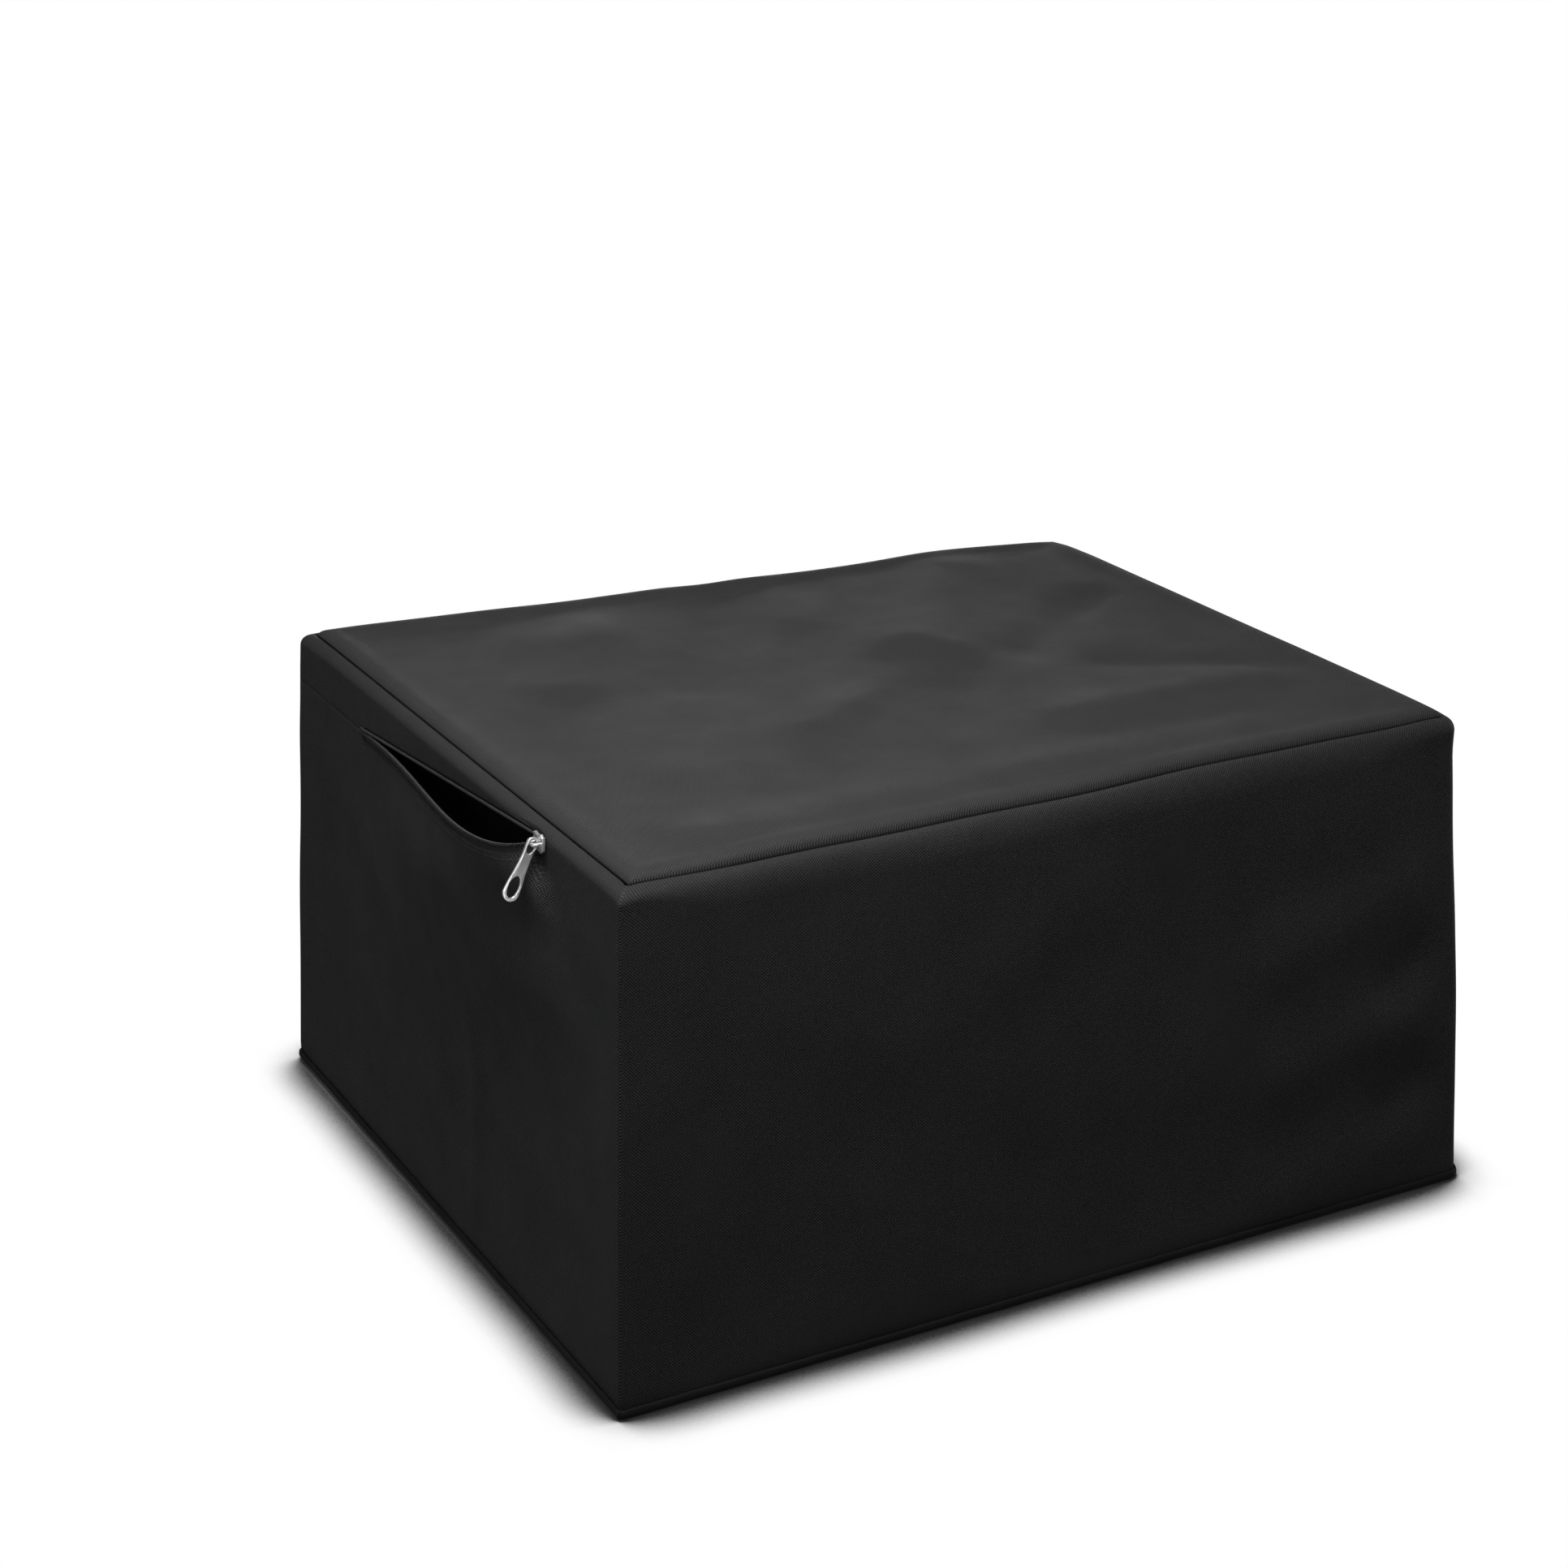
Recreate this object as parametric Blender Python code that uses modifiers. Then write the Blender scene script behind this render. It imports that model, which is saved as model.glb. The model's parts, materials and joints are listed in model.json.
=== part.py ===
"""Printer dust cover: a boxy woven cover, open underneath, with a slanted zip pocket high on its left side.

Every sewn piece is its own object. Metres, +Z up, front towards -Y, standing on z = 0.
The origin is the middle of the bounding box's bottom face. The zip slider runs on ZIP_ALONG, and the
pull tab swings round the slider's bridge, so both have their origins on their own axes.
"""

import math

import bmesh
import bpy
from mathutils import Matrix, Vector

MM = 0.001

# Cover
WIDTH = 500 * MM
DEPTH = 430 * MM
HEIGHT = 250 * MM
FABRIC = 1.0 * MM
LINING = 0.6 * MM
GAP = 0.3 * MM
MITRE_GAP = 0.25 * MM
EDGE_RADIUS = 3.5 * MM
SEAM_INSET = 6 * MM
SEAM_ALLOWANCE = 7 * MM
HEM_HEIGHT = 4 * MM
TAPE_LEG = 9 * MM
CURL_POINTS = 5
BINDING_SHORT = 2.5 * MM  # how far the seam bindings stop below the cloth of the top

# Zip
ZIP_LENGTH = 254.5 * MM
ZIP_START = 80.5 * MM  # from the front face to the zip's front stop
ZIP_DEPTH = 6.8 * MM  # from the top face down to the zip line at its front stop
ZIP_SLANT = math.radians(5.1)
COIL_OFFSET = 1.7 * MM
COIL_RADIUS = 0.9 * MM
TAPE_NEAR = 0.8 * MM
TAPE_ABOVE = 3.9 * MM
TAPE_BELOW = 13 * MM
WINDOW_ABOVE = 3.0 * MM
WINDOW_BELOW = 4.0 * MM
WINDOW_END = 1.0 * MM
TAPE_FOLD = 11 * MM  # below the zip line, where the lower tape ends its run behind the lip
COIL_LIFT = 0.05 * MM
COIL_SHORT = 2.5 * MM  # the coils end this far inside the zip's ends
STOP_LENGTH = 2.2 * MM
STOP_HEIGHT = 1.9 * MM
STOP_END = 0.5 * MM

# Pocket mouth: its lower lip drops and bows outwards
LIP_START = 13.3 * MM
LIP_END = 9 * MM
LIP_RISE = 7 * MM
CLEAR_DROP = 4.8 * MM
LIP_DROP = 5.0 * MM
LIP_OUT = 6.0 * MM
DROP_REACH = 80 * MM
OUT_REACH = 130 * MM
SPREAD = 0.3
LIP_COLUMNS = 14
LIP_CROWDING = 1.6  # above 1, the columns crowd towards the slider
SIDE_FALLS = [0, 0.03, 0.07, 0.13, 0.2, 0.29, 0.39, 0.5, 0.62, 0.8, 1]  # rows of the left side under the lip
BAG_DEPTH = 140 * MM
BAG_SLACK = 7 * MM
BAG_OVERHANG = 4 * MM
BAG_LEVELS = [5.5 * MM, 11 * MM, 20.5 * MM, 34.5 * MM, 51 * MM, 72 * MM, 95.5 * MM, 121.5 * MM, BAG_DEPTH]
BAG_ROOM = 0.8 * MM
BAG_SEAM = 0.5 * MM
BAG_OUTER = FABRIC + 2 * GAP + LINING
BAG_INNER = BAG_OUTER + LINING + BAG_ROOM
BINDING_REACH = 3 * MM

# Slider and pull tab
SLIDER_REST = 8 * MM
PLATE = 1.1 * MM
PLATE_OUTSIDE = 1.2 * MM
PLATE_INSIDE = 2.2 * MM
# Half of the plate's outline, (along the zip, across it): narrow mouth in front, two shoulders behind
PLATE_HALF = [(-5, 2.6), (-4.3, 3.2), (1.5, 4.3), (3.6, 4.3), (4.7, 3.3), (5, 1.4)]
POST_HALF = [(1.2, 0.3), (2, 0.45), (4.2, 0.45)]
BRIDGE_AXIS = 5.8 * MM
BRIDGE_ABOVE = 0.8 * MM
BRIDGE_BELOW = 0.75 * MM
BRIDGE_REACH = 3.7 * MM
BRIDGE_LEG = 1.6 * MM
BRIDGE_WIDTH = 1.7 * MM
BRIDGE_CHAMFER = 1.4 * MM
ARCH_CHAMFER = 0.6 * MM
PULL_ANGLE = math.radians(30)  # from hanging straight down, outwards
PULL_THICKNESS = 1.4 * MM
HEAD_RADIUS = 3.1 * MM
END_RADIUS = 4.6 * MM
END_CENTRE = 24 * MM
EYE_RADIUS = 2.05 * MM
EYE_LENGTH = 3.2 * MM
FINGER_CENTRE = 21.4 * MM
FINGER_LENGTH = 10.8 * MM
FINGER_WIDTH = 6.4 * MM

# Body faces. The pull tab reaches out on the left, and the origin is the middle of the whole.
PULL_REACH = BRIDGE_AXIS + END_CENTRE * math.sin(PULL_ANGLE) + END_RADIUS
HEM_PROUD = LINING + GAP
LEFT = -WIDTH / 2 + (PULL_REACH - HEM_PROUD) / 2
RIGHT = LEFT + WIDTH
FRONT = -DEPTH / 2
BACK = DEPTH / 2

ZIP_ALONG = Vector((0, math.cos(ZIP_SLANT), -math.sin(ZIP_SLANT)))
ZIP_DOWN = Vector((0, -math.sin(ZIP_SLANT), -math.cos(ZIP_SLANT)))
OUTWARD = Vector((-1, 0, 0))
ZIP_ORIGIN = Vector((LEFT, FRONT + ZIP_START, HEIGHT - ZIP_DEPTH))


# ---------------------------------------------------------------- scene and materials


def clear_scene():
    for thing in list(bpy.data.objects):
        bpy.data.objects.remove(thing)


def new_collection(name):
    made = bpy.data.collections.new(name)
    bpy.context.scene.collection.children.link(made)
    return made


def paint(name, colour, roughness, metallic):
    made = bpy.data.materials.new(name)
    made.use_nodes = True
    shader = made.node_tree.nodes["Principled BSDF"]
    shader.inputs["Base Color"].default_value = (*colour, 1)
    shader.inputs["Roughness"].default_value = roughness
    shader.inputs["Metallic"].default_value = metallic
    return made


FINISHES = {
    "woven": ((0.022, 0.022, 0.023), 0.72, 0.0),
    "binding": ((0.016, 0.016, 0.017), 0.8, 0.0),
    "tape": ((0.014, 0.014, 0.015), 0.85, 0.0),
    "coil": ((0.03, 0.03, 0.032), 0.4, 0.0),
    "lining": ((0.012, 0.012, 0.014), 0.85, 0.0),
    "metal": ((0.62, 0.62, 0.63), 0.22, 1.0),
}


def add_object(name, mesh, finish, collection):
    made = bpy.data.objects.new(name, mesh)
    collection.objects.link(made)
    colour, roughness, metallic = FINISHES[finish]
    mesh.materials.clear()
    mesh.materials.append(paint(name, colour, roughness, metallic))
    return made


# ---------------------------------------------------------------- shape helpers


def slab(name, columns, rows, place, finish, holes=()):
    """A closed sheet: place(i, j, layer) gives the point of column i and row j on layer 0 or 1, its two
    faces, and holes lists the (column, row) cells left open."""
    bm = bmesh.new()
    bmesh.ops.create_grid(bm, x_segments=columns - 1, y_segments=rows - 1, size=1)

    def cell(point):
        return round((point.x + 1) / 2 * (columns - 1)), round((point.y + 1) / 2 * (rows - 1))

    to_corner = Vector((1 / (columns - 1), 1 / (rows - 1), 0))
    gone = [f for f in bm.faces if cell(f.calc_center_median() - to_corner) in holes]
    bmesh.ops.delete(bm, geom=gone, context="FACES")
    lifted = bmesh.ops.extrude_face_region(bm, geom=bm.faces[:])
    inner = [v for v in lifted["geom"] if isinstance(v, bmesh.types.BMVert)]
    for vert in inner:
        vert.co.z = 1
    for vert in bm.verts:
        i, j = cell(vert.co)
        vert.co = place(i, j, round(vert.co.z))
    bmesh.ops.recalc_face_normals(bm, faces=bm.faces)
    if bm.calc_volume(signed=True) < 0:
        bmesh.ops.reverse_faces(bm, faces=bm.faces)
    mesh = bpy.data.meshes.new(name)
    bm.to_mesh(mesh)
    bm.free()
    return add_object(name, mesh, finish, PARTS)


def prism(outline, low, high):
    """A mesh: the closed outline of (x, y) points, from z = low to z = high."""
    bm = bmesh.new()
    face = bm.faces.new([bm.verts.new((x, y, low)) for x, y in outline])
    raised = bmesh.ops.extrude_face_region(bm, geom=[face])
    top = [v for v in raised["geom"] if isinstance(v, bmesh.types.BMVert)]
    bmesh.ops.translate(bm, verts=top, vec=(0, 0, high - low))
    bmesh.ops.recalc_face_normals(bm, faces=bm.faces)
    mesh = bpy.data.meshes.new("prism")
    bm.to_mesh(mesh)
    bm.free()
    return mesh


def arc(centre, radius, start, end, count):
    """Points of an arc in a plane, from angle start to angle end, in degrees."""
    angles = [math.radians(start + (end - start) * n / (count - 1)) for n in range(count)]
    return [(centre[0] + radius * math.cos(a), centre[1] + radius * math.sin(a)) for a in angles]


def combine(target, tool_mesh, operation):
    """Adds a Boolean of target with a hidden tool that shares target's placing."""
    tool = bpy.data.objects.new(f"{target.name}_tool", tool_mesh)
    CUTTERS.objects.link(tool)
    tool.matrix_world = target.matrix_world
    tool.hide_render = True
    tool.display_type = "WIRE"
    modifier = target.modifiers.new(operation.title(), "BOOLEAN")
    modifier.operation = operation
    modifier.object = tool


def along_zip(distance):
    return ZIP_ORIGIN + ZIP_ALONG * distance


def axes_matrix(x_axis, y_axis, z_axis, origin):
    turn = Matrix((x_axis, y_axis, z_axis)).transposed()
    return Matrix.Translation(origin) @ turn.to_4x4()


# ---------------------------------------------------------------- side panels and their bindings


def panel_profile(skin):
    """(inset, height) points of a side panel's upright section, from its foot, over the rounded edge and down
    the seam allowance. skin is 0 on the outside and FABRIC on the inside."""
    centre = (EDGE_RADIUS, HEIGHT - EDGE_RADIUS)
    curl = arc(centre, EDGE_RADIUS - skin, 180, 90, CURL_POINTS)
    fold = SEAM_INSET - skin
    return [(skin, FABRIC + GAP), *curl, (fold, HEIGHT - skin), (fold, HEIGHT - SEAM_ALLOWANCE)]


def hem_profile(skin):
    """The U round a panel's bottom edge. skin is 0 on its outside and LINING on its inside."""
    wide, narrow = FABRIC + HEM_PROUD - skin, skin - HEM_PROUD
    return [(narrow, HEM_HEIGHT), (narrow, skin), (wide, skin), (wide, HEM_HEIGHT)]


def seam_binding_profile(skin):
    """The U round the two seam allowances under the top edge."""
    near = SEAM_INSET - FABRIC - HEM_PROUD + skin
    far = SEAM_INSET + GAP + FABRIC + HEM_PROUD - skin
    foot = HEIGHT - SEAM_ALLOWANCE - HEM_PROUD + skin
    top = HEIGHT - FABRIC - BINDING_SHORT
    return [(near, top), (near, foot), (far, foot), (far, top)]


# Each side: the corner where its run starts, the direction of the run, the inward direction, its length
SIDES = {
    "front": (Vector((LEFT, FRONT, 0)), Vector((1, 0, 0)), Vector((0, 1, 0)), WIDTH),
    "right": (Vector((RIGHT, FRONT, 0)), Vector((0, 1, 0)), Vector((-1, 0, 0)), DEPTH),
    "back": (Vector((RIGHT, BACK, 0)), Vector((-1, 0, 0)), Vector((0, -1, 0)), WIDTH),
    "left": (Vector((LEFT, BACK, 0)), Vector((0, -1, 0)), Vector((1, 0, 0)), DEPTH),
}


def mitred_strip(name, side, profile, skin, finish):
    """A straight strip of one section along a side, cut at 45 degrees at both corners."""
    start, run, inward, length = SIDES[side]
    layers = [profile(0), profile(skin)]

    def place(i, j, layer):
        inset, height = layers[layer][j]
        reach = inset + MITRE_GAP
        along = reach if i == 0 else length - reach
        return start + run * along + inward * inset + Vector((0, 0, height))

    return slab(name, 2, len(layers[0]), place, finish)


def make_sides():
    for side in SIDES:
        if side != "left":
            mitred_strip(f"{side}_panel", side, panel_profile, FABRIC, "woven")
        mitred_strip(f"hem_binding_{side}", side, hem_profile, LINING, "binding")
        mitred_strip(f"top_seam_binding_{side}", side, seam_binding_profile, LINING, "binding")


def make_corner_tapes():
    """An L of tape over the upright seam inside each corner."""
    near, far = FABRIC + GAP, FABRIC + GAP + LINING
    path = [[(TAPE_LEG, depth), (depth, depth), (depth, TAPE_LEG)] for depth in (near, far)]
    low, high = HEM_HEIGHT + GAP, HEIGHT - SEAM_ALLOWANCE - HEM_PROUD - GAP
    corners = {
        # the corner's x and y, and which way is inwards on each
        "front_left": (LEFT, FRONT, 1, 1),
        "front_right": (RIGHT, FRONT, -1, 1),
        "back_right": (RIGHT, BACK, -1, -1),
        "back_left": (LEFT, BACK, 1, -1),
    }
    for name, (x, y, x_in, y_in) in corners.items():

        def place(i, j, layer, x=x, y=y, x_in=x_in, y_in=y_in):
            across, deep = path[layer][j]
            return Vector((x + x_in * across, y + y_in * deep, (low, high)[i]))

        slab(f"corner_seam_tape_{name}", 2, 3, place, "binding")


def make_top_panel():
    """The top, with its seam allowance turned down all round inside the side panels' own."""
    inset = SEAM_INSET + GAP
    bm = bmesh.new()
    bmesh.ops.create_cube(bm, size=1)
    under = [f for f in bm.faces if f.normal.z < -0.5]
    bmesh.ops.delete(bm, geom=under, context="FACES_ONLY")
    size = Vector((WIDTH - 2 * inset, DEPTH - 2 * inset, SEAM_ALLOWANCE))
    bmesh.ops.scale(bm, vec=size, verts=bm.verts)
    mesh = bpy.data.meshes.new("top_panel")
    bm.to_mesh(mesh)
    bm.free()
    top = add_object("top_panel", mesh, "woven", PARTS)
    top.location = ((LEFT + RIGHT) / 2, (FRONT + BACK) / 2, HEIGHT - SEAM_ALLOWANCE / 2)
    shell = top.modifiers.new("Fabric", "SOLIDIFY")
    shell.thickness = FABRIC
    shell.offset = -1
    shell.use_even_offset = True


# ---------------------------------------------------------------- pocket


def lip_curve(share):
    """How far open the mouth is at a share of its length: steep by the slider, long towards the back."""
    if not 0 < share < 1:
        return 0.0
    return math.sin(math.pi * math.sqrt(share)) * (1 - share) ** 0.6


def ease(value):
    value = min(1.0, max(0.0, value))
    return value * value * (3 - 2 * value)


def bulged(point):
    """Moves a point of the flat left side to where the open pocket's lower lip carries it."""
    offset = point - ZIP_ORIGIN
    along, below = offset.dot(ZIP_ALONG), offset.dot(ZIP_DOWN)
    if below <= 0:
        return point
    last = ZIP_LENGTH - LIP_END
    held_open = ease((along - LIP_START) / LIP_RISE) * ease((last - along + LIP_RISE / 2) / LIP_RISE)
    first = LIP_START + LIP_RISE
    drop = CLEAR_DROP * held_open + LIP_DROP * lip_curve((along - first) / (last - first))
    drop *= max(0.0, 1 - below / DROP_REACH) ** 2
    widened = SPREAD * max(0.0, below - WINDOW_BELOW - CLEAR_DROP)
    share = (along - first + widened) / (last - first + 2 * widened)
    out = LIP_OUT * lip_curve(share) * math.cos(math.pi / 2 * min(1.0, below / OUT_REACH)) ** 2
    return point + ZIP_DOWN * drop + OUTWARD * out


def zip_point(along, below, inset):
    """A point of the pocket's layers: how far along the zip, below its line and in from the outer face."""
    return bulged(along_zip(along) + ZIP_DOWN * below) - OUTWARD * inset


def zip_height(y, below):
    """Height of the line that runs this far below the zip line, level beyond the zip's two ends."""
    first = along_zip(-WINDOW_END).y
    last = along_zip(ZIP_LENGTH + WINDOW_END).y
    y = min(last, max(first, y))
    return ZIP_ORIGIN.z - (y - ZIP_ORIGIN.y) * math.tan(ZIP_SLANT) - below / math.cos(ZIP_SLANT)


def lip_stations():
    """Distances along the zip, close together where the lip turns by the slider and at its far end."""
    first, last = LIP_START, ZIP_LENGTH - LIP_END + LIP_RISE / 2
    inner = [first + (last - first) * (n / LIP_COLUMNS) ** LIP_CROWDING for n in range(LIP_COLUMNS)]
    return inner + [last - LIP_RISE, last - LIP_RISE / 2, last]


def make_left_panel():
    """The left side, with a slot for the zip whose lower edge is the pocket's bowed lip."""
    outer, inner = panel_profile(0), panel_profile(FABRIC)
    upper = [outer[1:], inner[1:]]
    window_first, window_last = along_zip(-WINDOW_END).y, along_zip(ZIP_LENGTH + WINDOW_END).y
    middle = [along_zip(a).y for a in lip_stations()]
    near = [FRONT, FRONT + ZIP_START / 2, window_first]
    far = [window_last, (window_last + BACK) / 2, BACK]
    stations = near + middle + far
    lip_row = len(SIDE_FALLS) - 1
    rows = len(SIDE_FALLS) + 1 + len(upper[0])

    def place(i, j, layer):
        over_slot = j - lip_row - 1
        inset = upper[layer][over_slot - 1][0] if over_slot > 0 else FABRIC * layer
        y = stations[i]
        if i == 0:
            y = FRONT + inset + MITRE_GAP
        elif i == len(stations) - 1:
            y = BACK - inset - MITRE_GAP
        if over_slot > 0:
            return Vector((LEFT + inset, y, upper[layer][over_slot - 1][1]))
        if over_slot == 0:
            return Vector((LEFT + inset, y, zip_height(y, -WINDOW_ABOVE)))
        top = zip_height(y, WINDOW_BELOW)
        height = top + (FABRIC + GAP - top) * SIDE_FALLS[lip_row - j]
        return bulged(Vector((LEFT, y, height))) - OUTWARD * inset

    first = len(near) - 1
    slot = {(i, lip_row) for i in range(first, first + len(middle) + 1)}
    slab("left_panel", len(stations), rows, place, "woven", slot)


def make_zip_tapes():
    """The tapes behind the cloth: the upper one flat, the lower one following the lip."""
    stations = [0, LIP_START / 2, *lip_stations(), ZIP_LENGTH]
    near = FABRIC + GAP

    def lower(i, j, layer):
        below = (TAPE_NEAR, WINDOW_BELOW, TAPE_FOLD, TAPE_BELOW)[j]
        behind_cloth = GAP / 3 if j > 1 else 0
        return zip_point(stations[i], below, near + behind_cloth + LINING * layer)

    def upper(i, j, layer):
        above = (TAPE_NEAR, TAPE_ABOVE)[j]
        return zip_point((0, ZIP_LENGTH)[i], -above, near + LINING * layer)

    slab("zip_tape_lower", len(stations), 4, lower, "tape")
    slab("zip_tape_upper", 2, 2, upper, "tape")


def make_coil(name, points):
    """One side's coil, as the round bar that its turns fill."""
    curve = bpy.data.curves.new(name, "CURVE")
    curve.dimensions = "3D"
    curve.bevel_depth = COIL_RADIUS
    curve.bevel_resolution = 1
    curve.use_fill_caps = True
    spline = curve.splines.new("POLY")
    spline.points.add(len(points) - 1)
    for knot, point in zip(spline.points, points):
        knot.co = (*point, 1)
    add_object(name, curve, "coil", PARTS)


def make_coils():
    first, last = COIL_SHORT, ZIP_LENGTH - COIL_SHORT - STOP_END
    lower = [first, *lip_stations(), last]
    make_coil("zip_coil_lower", [zip_point(a, COIL_OFFSET, COIL_LIFT) for a in lower])
    make_coil("zip_coil_upper", [zip_point(a, -COIL_OFFSET, COIL_LIFT) for a in (first, last)])


def make_stop(name, first, near, far):
    """A small block clamped on a coil's end, between two distances below the zip line."""
    size = Vector((STOP_LENGTH, far - near, STOP_HEIGHT))
    bm = bmesh.new()
    bmesh.ops.create_cube(bm, size=1)
    bmesh.ops.scale(bm, vec=size, verts=bm.verts)
    mesh = bpy.data.meshes.new(name)
    bm.to_mesh(mesh)
    bm.free()
    stop = add_object(name, mesh, "metal", PARTS)
    centre = along_zip(first + STOP_LENGTH / 2) + ZIP_DOWN * (near + far) / 2 - OUTWARD * COIL_LIFT
    stop.matrix_world = axes_matrix(ZIP_ALONG, ZIP_DOWN, OUTWARD, centre)


def make_stops():
    outer, inner = COIL_OFFSET + COIL_RADIUS, COIL_OFFSET - COIL_RADIUS
    rear = ZIP_LENGTH - STOP_END - STOP_LENGTH
    make_stop("zip_front_stop", 0, -outer, outer)
    make_stop("zip_rear_stop_upper", rear, -outer, -inner)
    make_stop("zip_rear_stop_lower", rear, inner, outer)


def make_pocket_bag():
    """The lining: down behind the lip, round a fold, and up inside to the top seam."""
    stations = [-BAG_OVERHANG, BAG_SEAM, *lip_stations(), ZIP_LENGTH - BAG_SEAM, ZIP_LENGTH + BAG_OVERHANG]
    levels = len(BAG_LEVELS)
    ends = (0, 1, len(stations) - 2, len(stations) - 1)
    top = HEIGHT - SEAM_ALLOWANCE - HEM_PROUD - GAP

    def place(i, j, layer):
        along = stations[i]
        fold = LINING * layer if j in (levels - 1, levels) else 0
        if j < levels:
            behind_cloth = GAP if j > 0 and i not in ends else 0
            return zip_point(along, BAG_LEVELS[j] - fold, BAG_OUTER + behind_cloth + LINING * layer)
        back = j - levels
        below = BAG_LEVELS[levels - 1 - back] - fold
        inset = BAG_INNER + LINING * (1 - layer)
        if back == 0 or (back < levels - 1 and i in ends):
            return zip_point(along, below, inset)
        swell = math.sin(math.pi * back / (levels - 1))
        swell *= math.sin(math.pi * (along + BAG_OVERHANG) / (ZIP_LENGTH + 2 * BAG_OVERHANG))
        point = along_zip(along) + ZIP_DOWN * below - OUTWARD * (inset + BAG_SLACK * swell)
        if back == levels - 1:
            point.z = top
        return point

    slab("pocket_bag", len(stations), 2 * levels, place, "lining")


def make_bag_bindings():
    """A U of tape round the bag's two layers at each end."""
    near = FABRIC + GAP
    far = BAG_INNER + 2 * LINING + GAP
    heights = [*BAG_LEVELS[1:-1], BAG_DEPTH - BINDING_REACH]
    for name, end, turn in (("front", -BAG_OVERHANG, -1), ("rear", ZIP_LENGTH + BAG_OVERHANG, 1)):
        tip = end - turn * BINDING_REACH
        path = []
        for skin in (0, LINING):
            edge = end + turn * (GAP + LINING - skin)
            path.append([(tip, near + skin), (edge, near + skin), (edge, far - skin), (tip, far - skin)])

        def place(i, j, layer, path=path):
            along, inset = path[layer][j]
            return zip_point(along, heights[i], inset)

        slab(f"pocket_bag_binding_{name}", len(heights), 4, place, "binding")


# ---------------------------------------------------------------- slider and pull tab


def mirrored(half):
    """A closed outline from its half on the +Y side, given in millimetres along X."""
    return [(x * MM, y * MM) for x, y in half] + [(x * MM, -y * MM) for x, y in reversed(half)]


def bridge_outline():
    """The arch over the outer plate, (along the zip, out from it), that the pull tab hangs on."""
    foot = PLATE_OUTSIDE + PLATE / 2
    crown, opening = BRIDGE_AXIS + BRIDGE_ABOVE, BRIDGE_AXIS - BRIDGE_BELOW
    inside = BRIDGE_REACH - BRIDGE_LEG
    right = [
        (BRIDGE_REACH - BRIDGE_CHAMFER, crown),
        (BRIDGE_REACH, crown - BRIDGE_CHAMFER),
        (BRIDGE_REACH, foot),
        (inside, foot),
        (inside, opening - ARCH_CHAMFER),
        (inside - ARCH_CHAMFER, opening),
    ]
    return right + [(-x, y) for x, y in reversed(right)]


def make_slider():
    """Two plates joined by a post between the coils, and the bridge that holds the pull tab."""
    plate, post = mirrored(PLATE_HALF), mirrored(POST_HALF)
    outer_plate = prism(plate, PLATE_OUTSIDE, PLATE_OUTSIDE + PLATE)
    slider = add_object("zip_slider", outer_plate, "metal", PARTS)
    slider.matrix_world = axes_matrix(ZIP_ALONG, ZIP_DOWN, OUTWARD, along_zip(SLIDER_REST))
    combine(slider, prism(plate, -PLATE_INSIDE - PLATE, -PLATE_INSIDE), "UNION")
    combine(slider, prism(post, -PLATE_INSIDE - PLATE / 2, PLATE_OUTSIDE + PLATE / 2), "UNION")
    bridge = prism(bridge_outline(), -BRIDGE_WIDTH / 2, BRIDGE_WIDTH / 2)
    bridge.transform(Matrix.Rotation(math.radians(90), 4, "X"))
    combine(slider, bridge, "UNION")


def make_pull_tab():
    """A tapered tab across the zip, with the eye that the bridge passes through and a finger hole."""
    lean = math.degrees(math.asin((END_RADIUS - HEAD_RADIUS) / END_CENTRE))
    outline = arc((0, 0), HEAD_RADIUS, 90 + lean, 270 - lean, 13)
    outline += arc((END_CENTRE, 0), END_RADIUS, -90 - lean, 90 + lean, 19)
    half = PULL_THICKNESS / 2
    pull = add_object("zip_pull_tab", prism(outline, -half, half), "metal", PARTS)
    length = ZIP_DOWN * math.cos(PULL_ANGLE) + OUTWARD * math.sin(PULL_ANGLE)
    across = ZIP_ALONG.cross(length)
    origin = along_zip(SLIDER_REST) + OUTWARD * BRIDGE_AXIS
    pull.matrix_world = axes_matrix(length, across, ZIP_ALONG, origin)
    eye = arc((0, 0), EYE_RADIUS, 90, 270, 11) + arc((EYE_LENGTH, 0), EYE_RADIUS, -90, 90, 11)
    combine(pull, prism(eye, -PULL_THICKNESS, PULL_THICKNESS), "DIFFERENCE")
    circle = arc((0, 0), 0.5, 0, 345, 24)
    finger = [(FINGER_CENTRE + FINGER_LENGTH * x, FINGER_WIDTH * y) for x, y in circle]
    combine(pull, prism(finger, -PULL_THICKNESS, PULL_THICKNESS), "DIFFERENCE")


clear_scene()
PARTS = new_collection("printer_dust_cover")
CUTTERS = new_collection("cutters")
make_top_panel()
make_sides()
make_left_panel()
make_corner_tapes()
make_zip_tapes()
make_coils()
make_stops()
make_pocket_bag()
make_bag_bindings()
make_slider()
make_pull_tab()
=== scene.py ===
"""The looks of the printer dust cover: coated woven cloth, bound hems, a coil zip and a nickel slider.

Every sheet is a grid of points in the frame's own metres. Flat places come from the frame, and one soft
warp carries folds and leaning corners to every cloth piece, so that seams stay together.
"""

import json
import math
from collections import namedtuple

import bmesh
import bpy
import numpy as np
from mathutils import Matrix, Vector, noise

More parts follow.
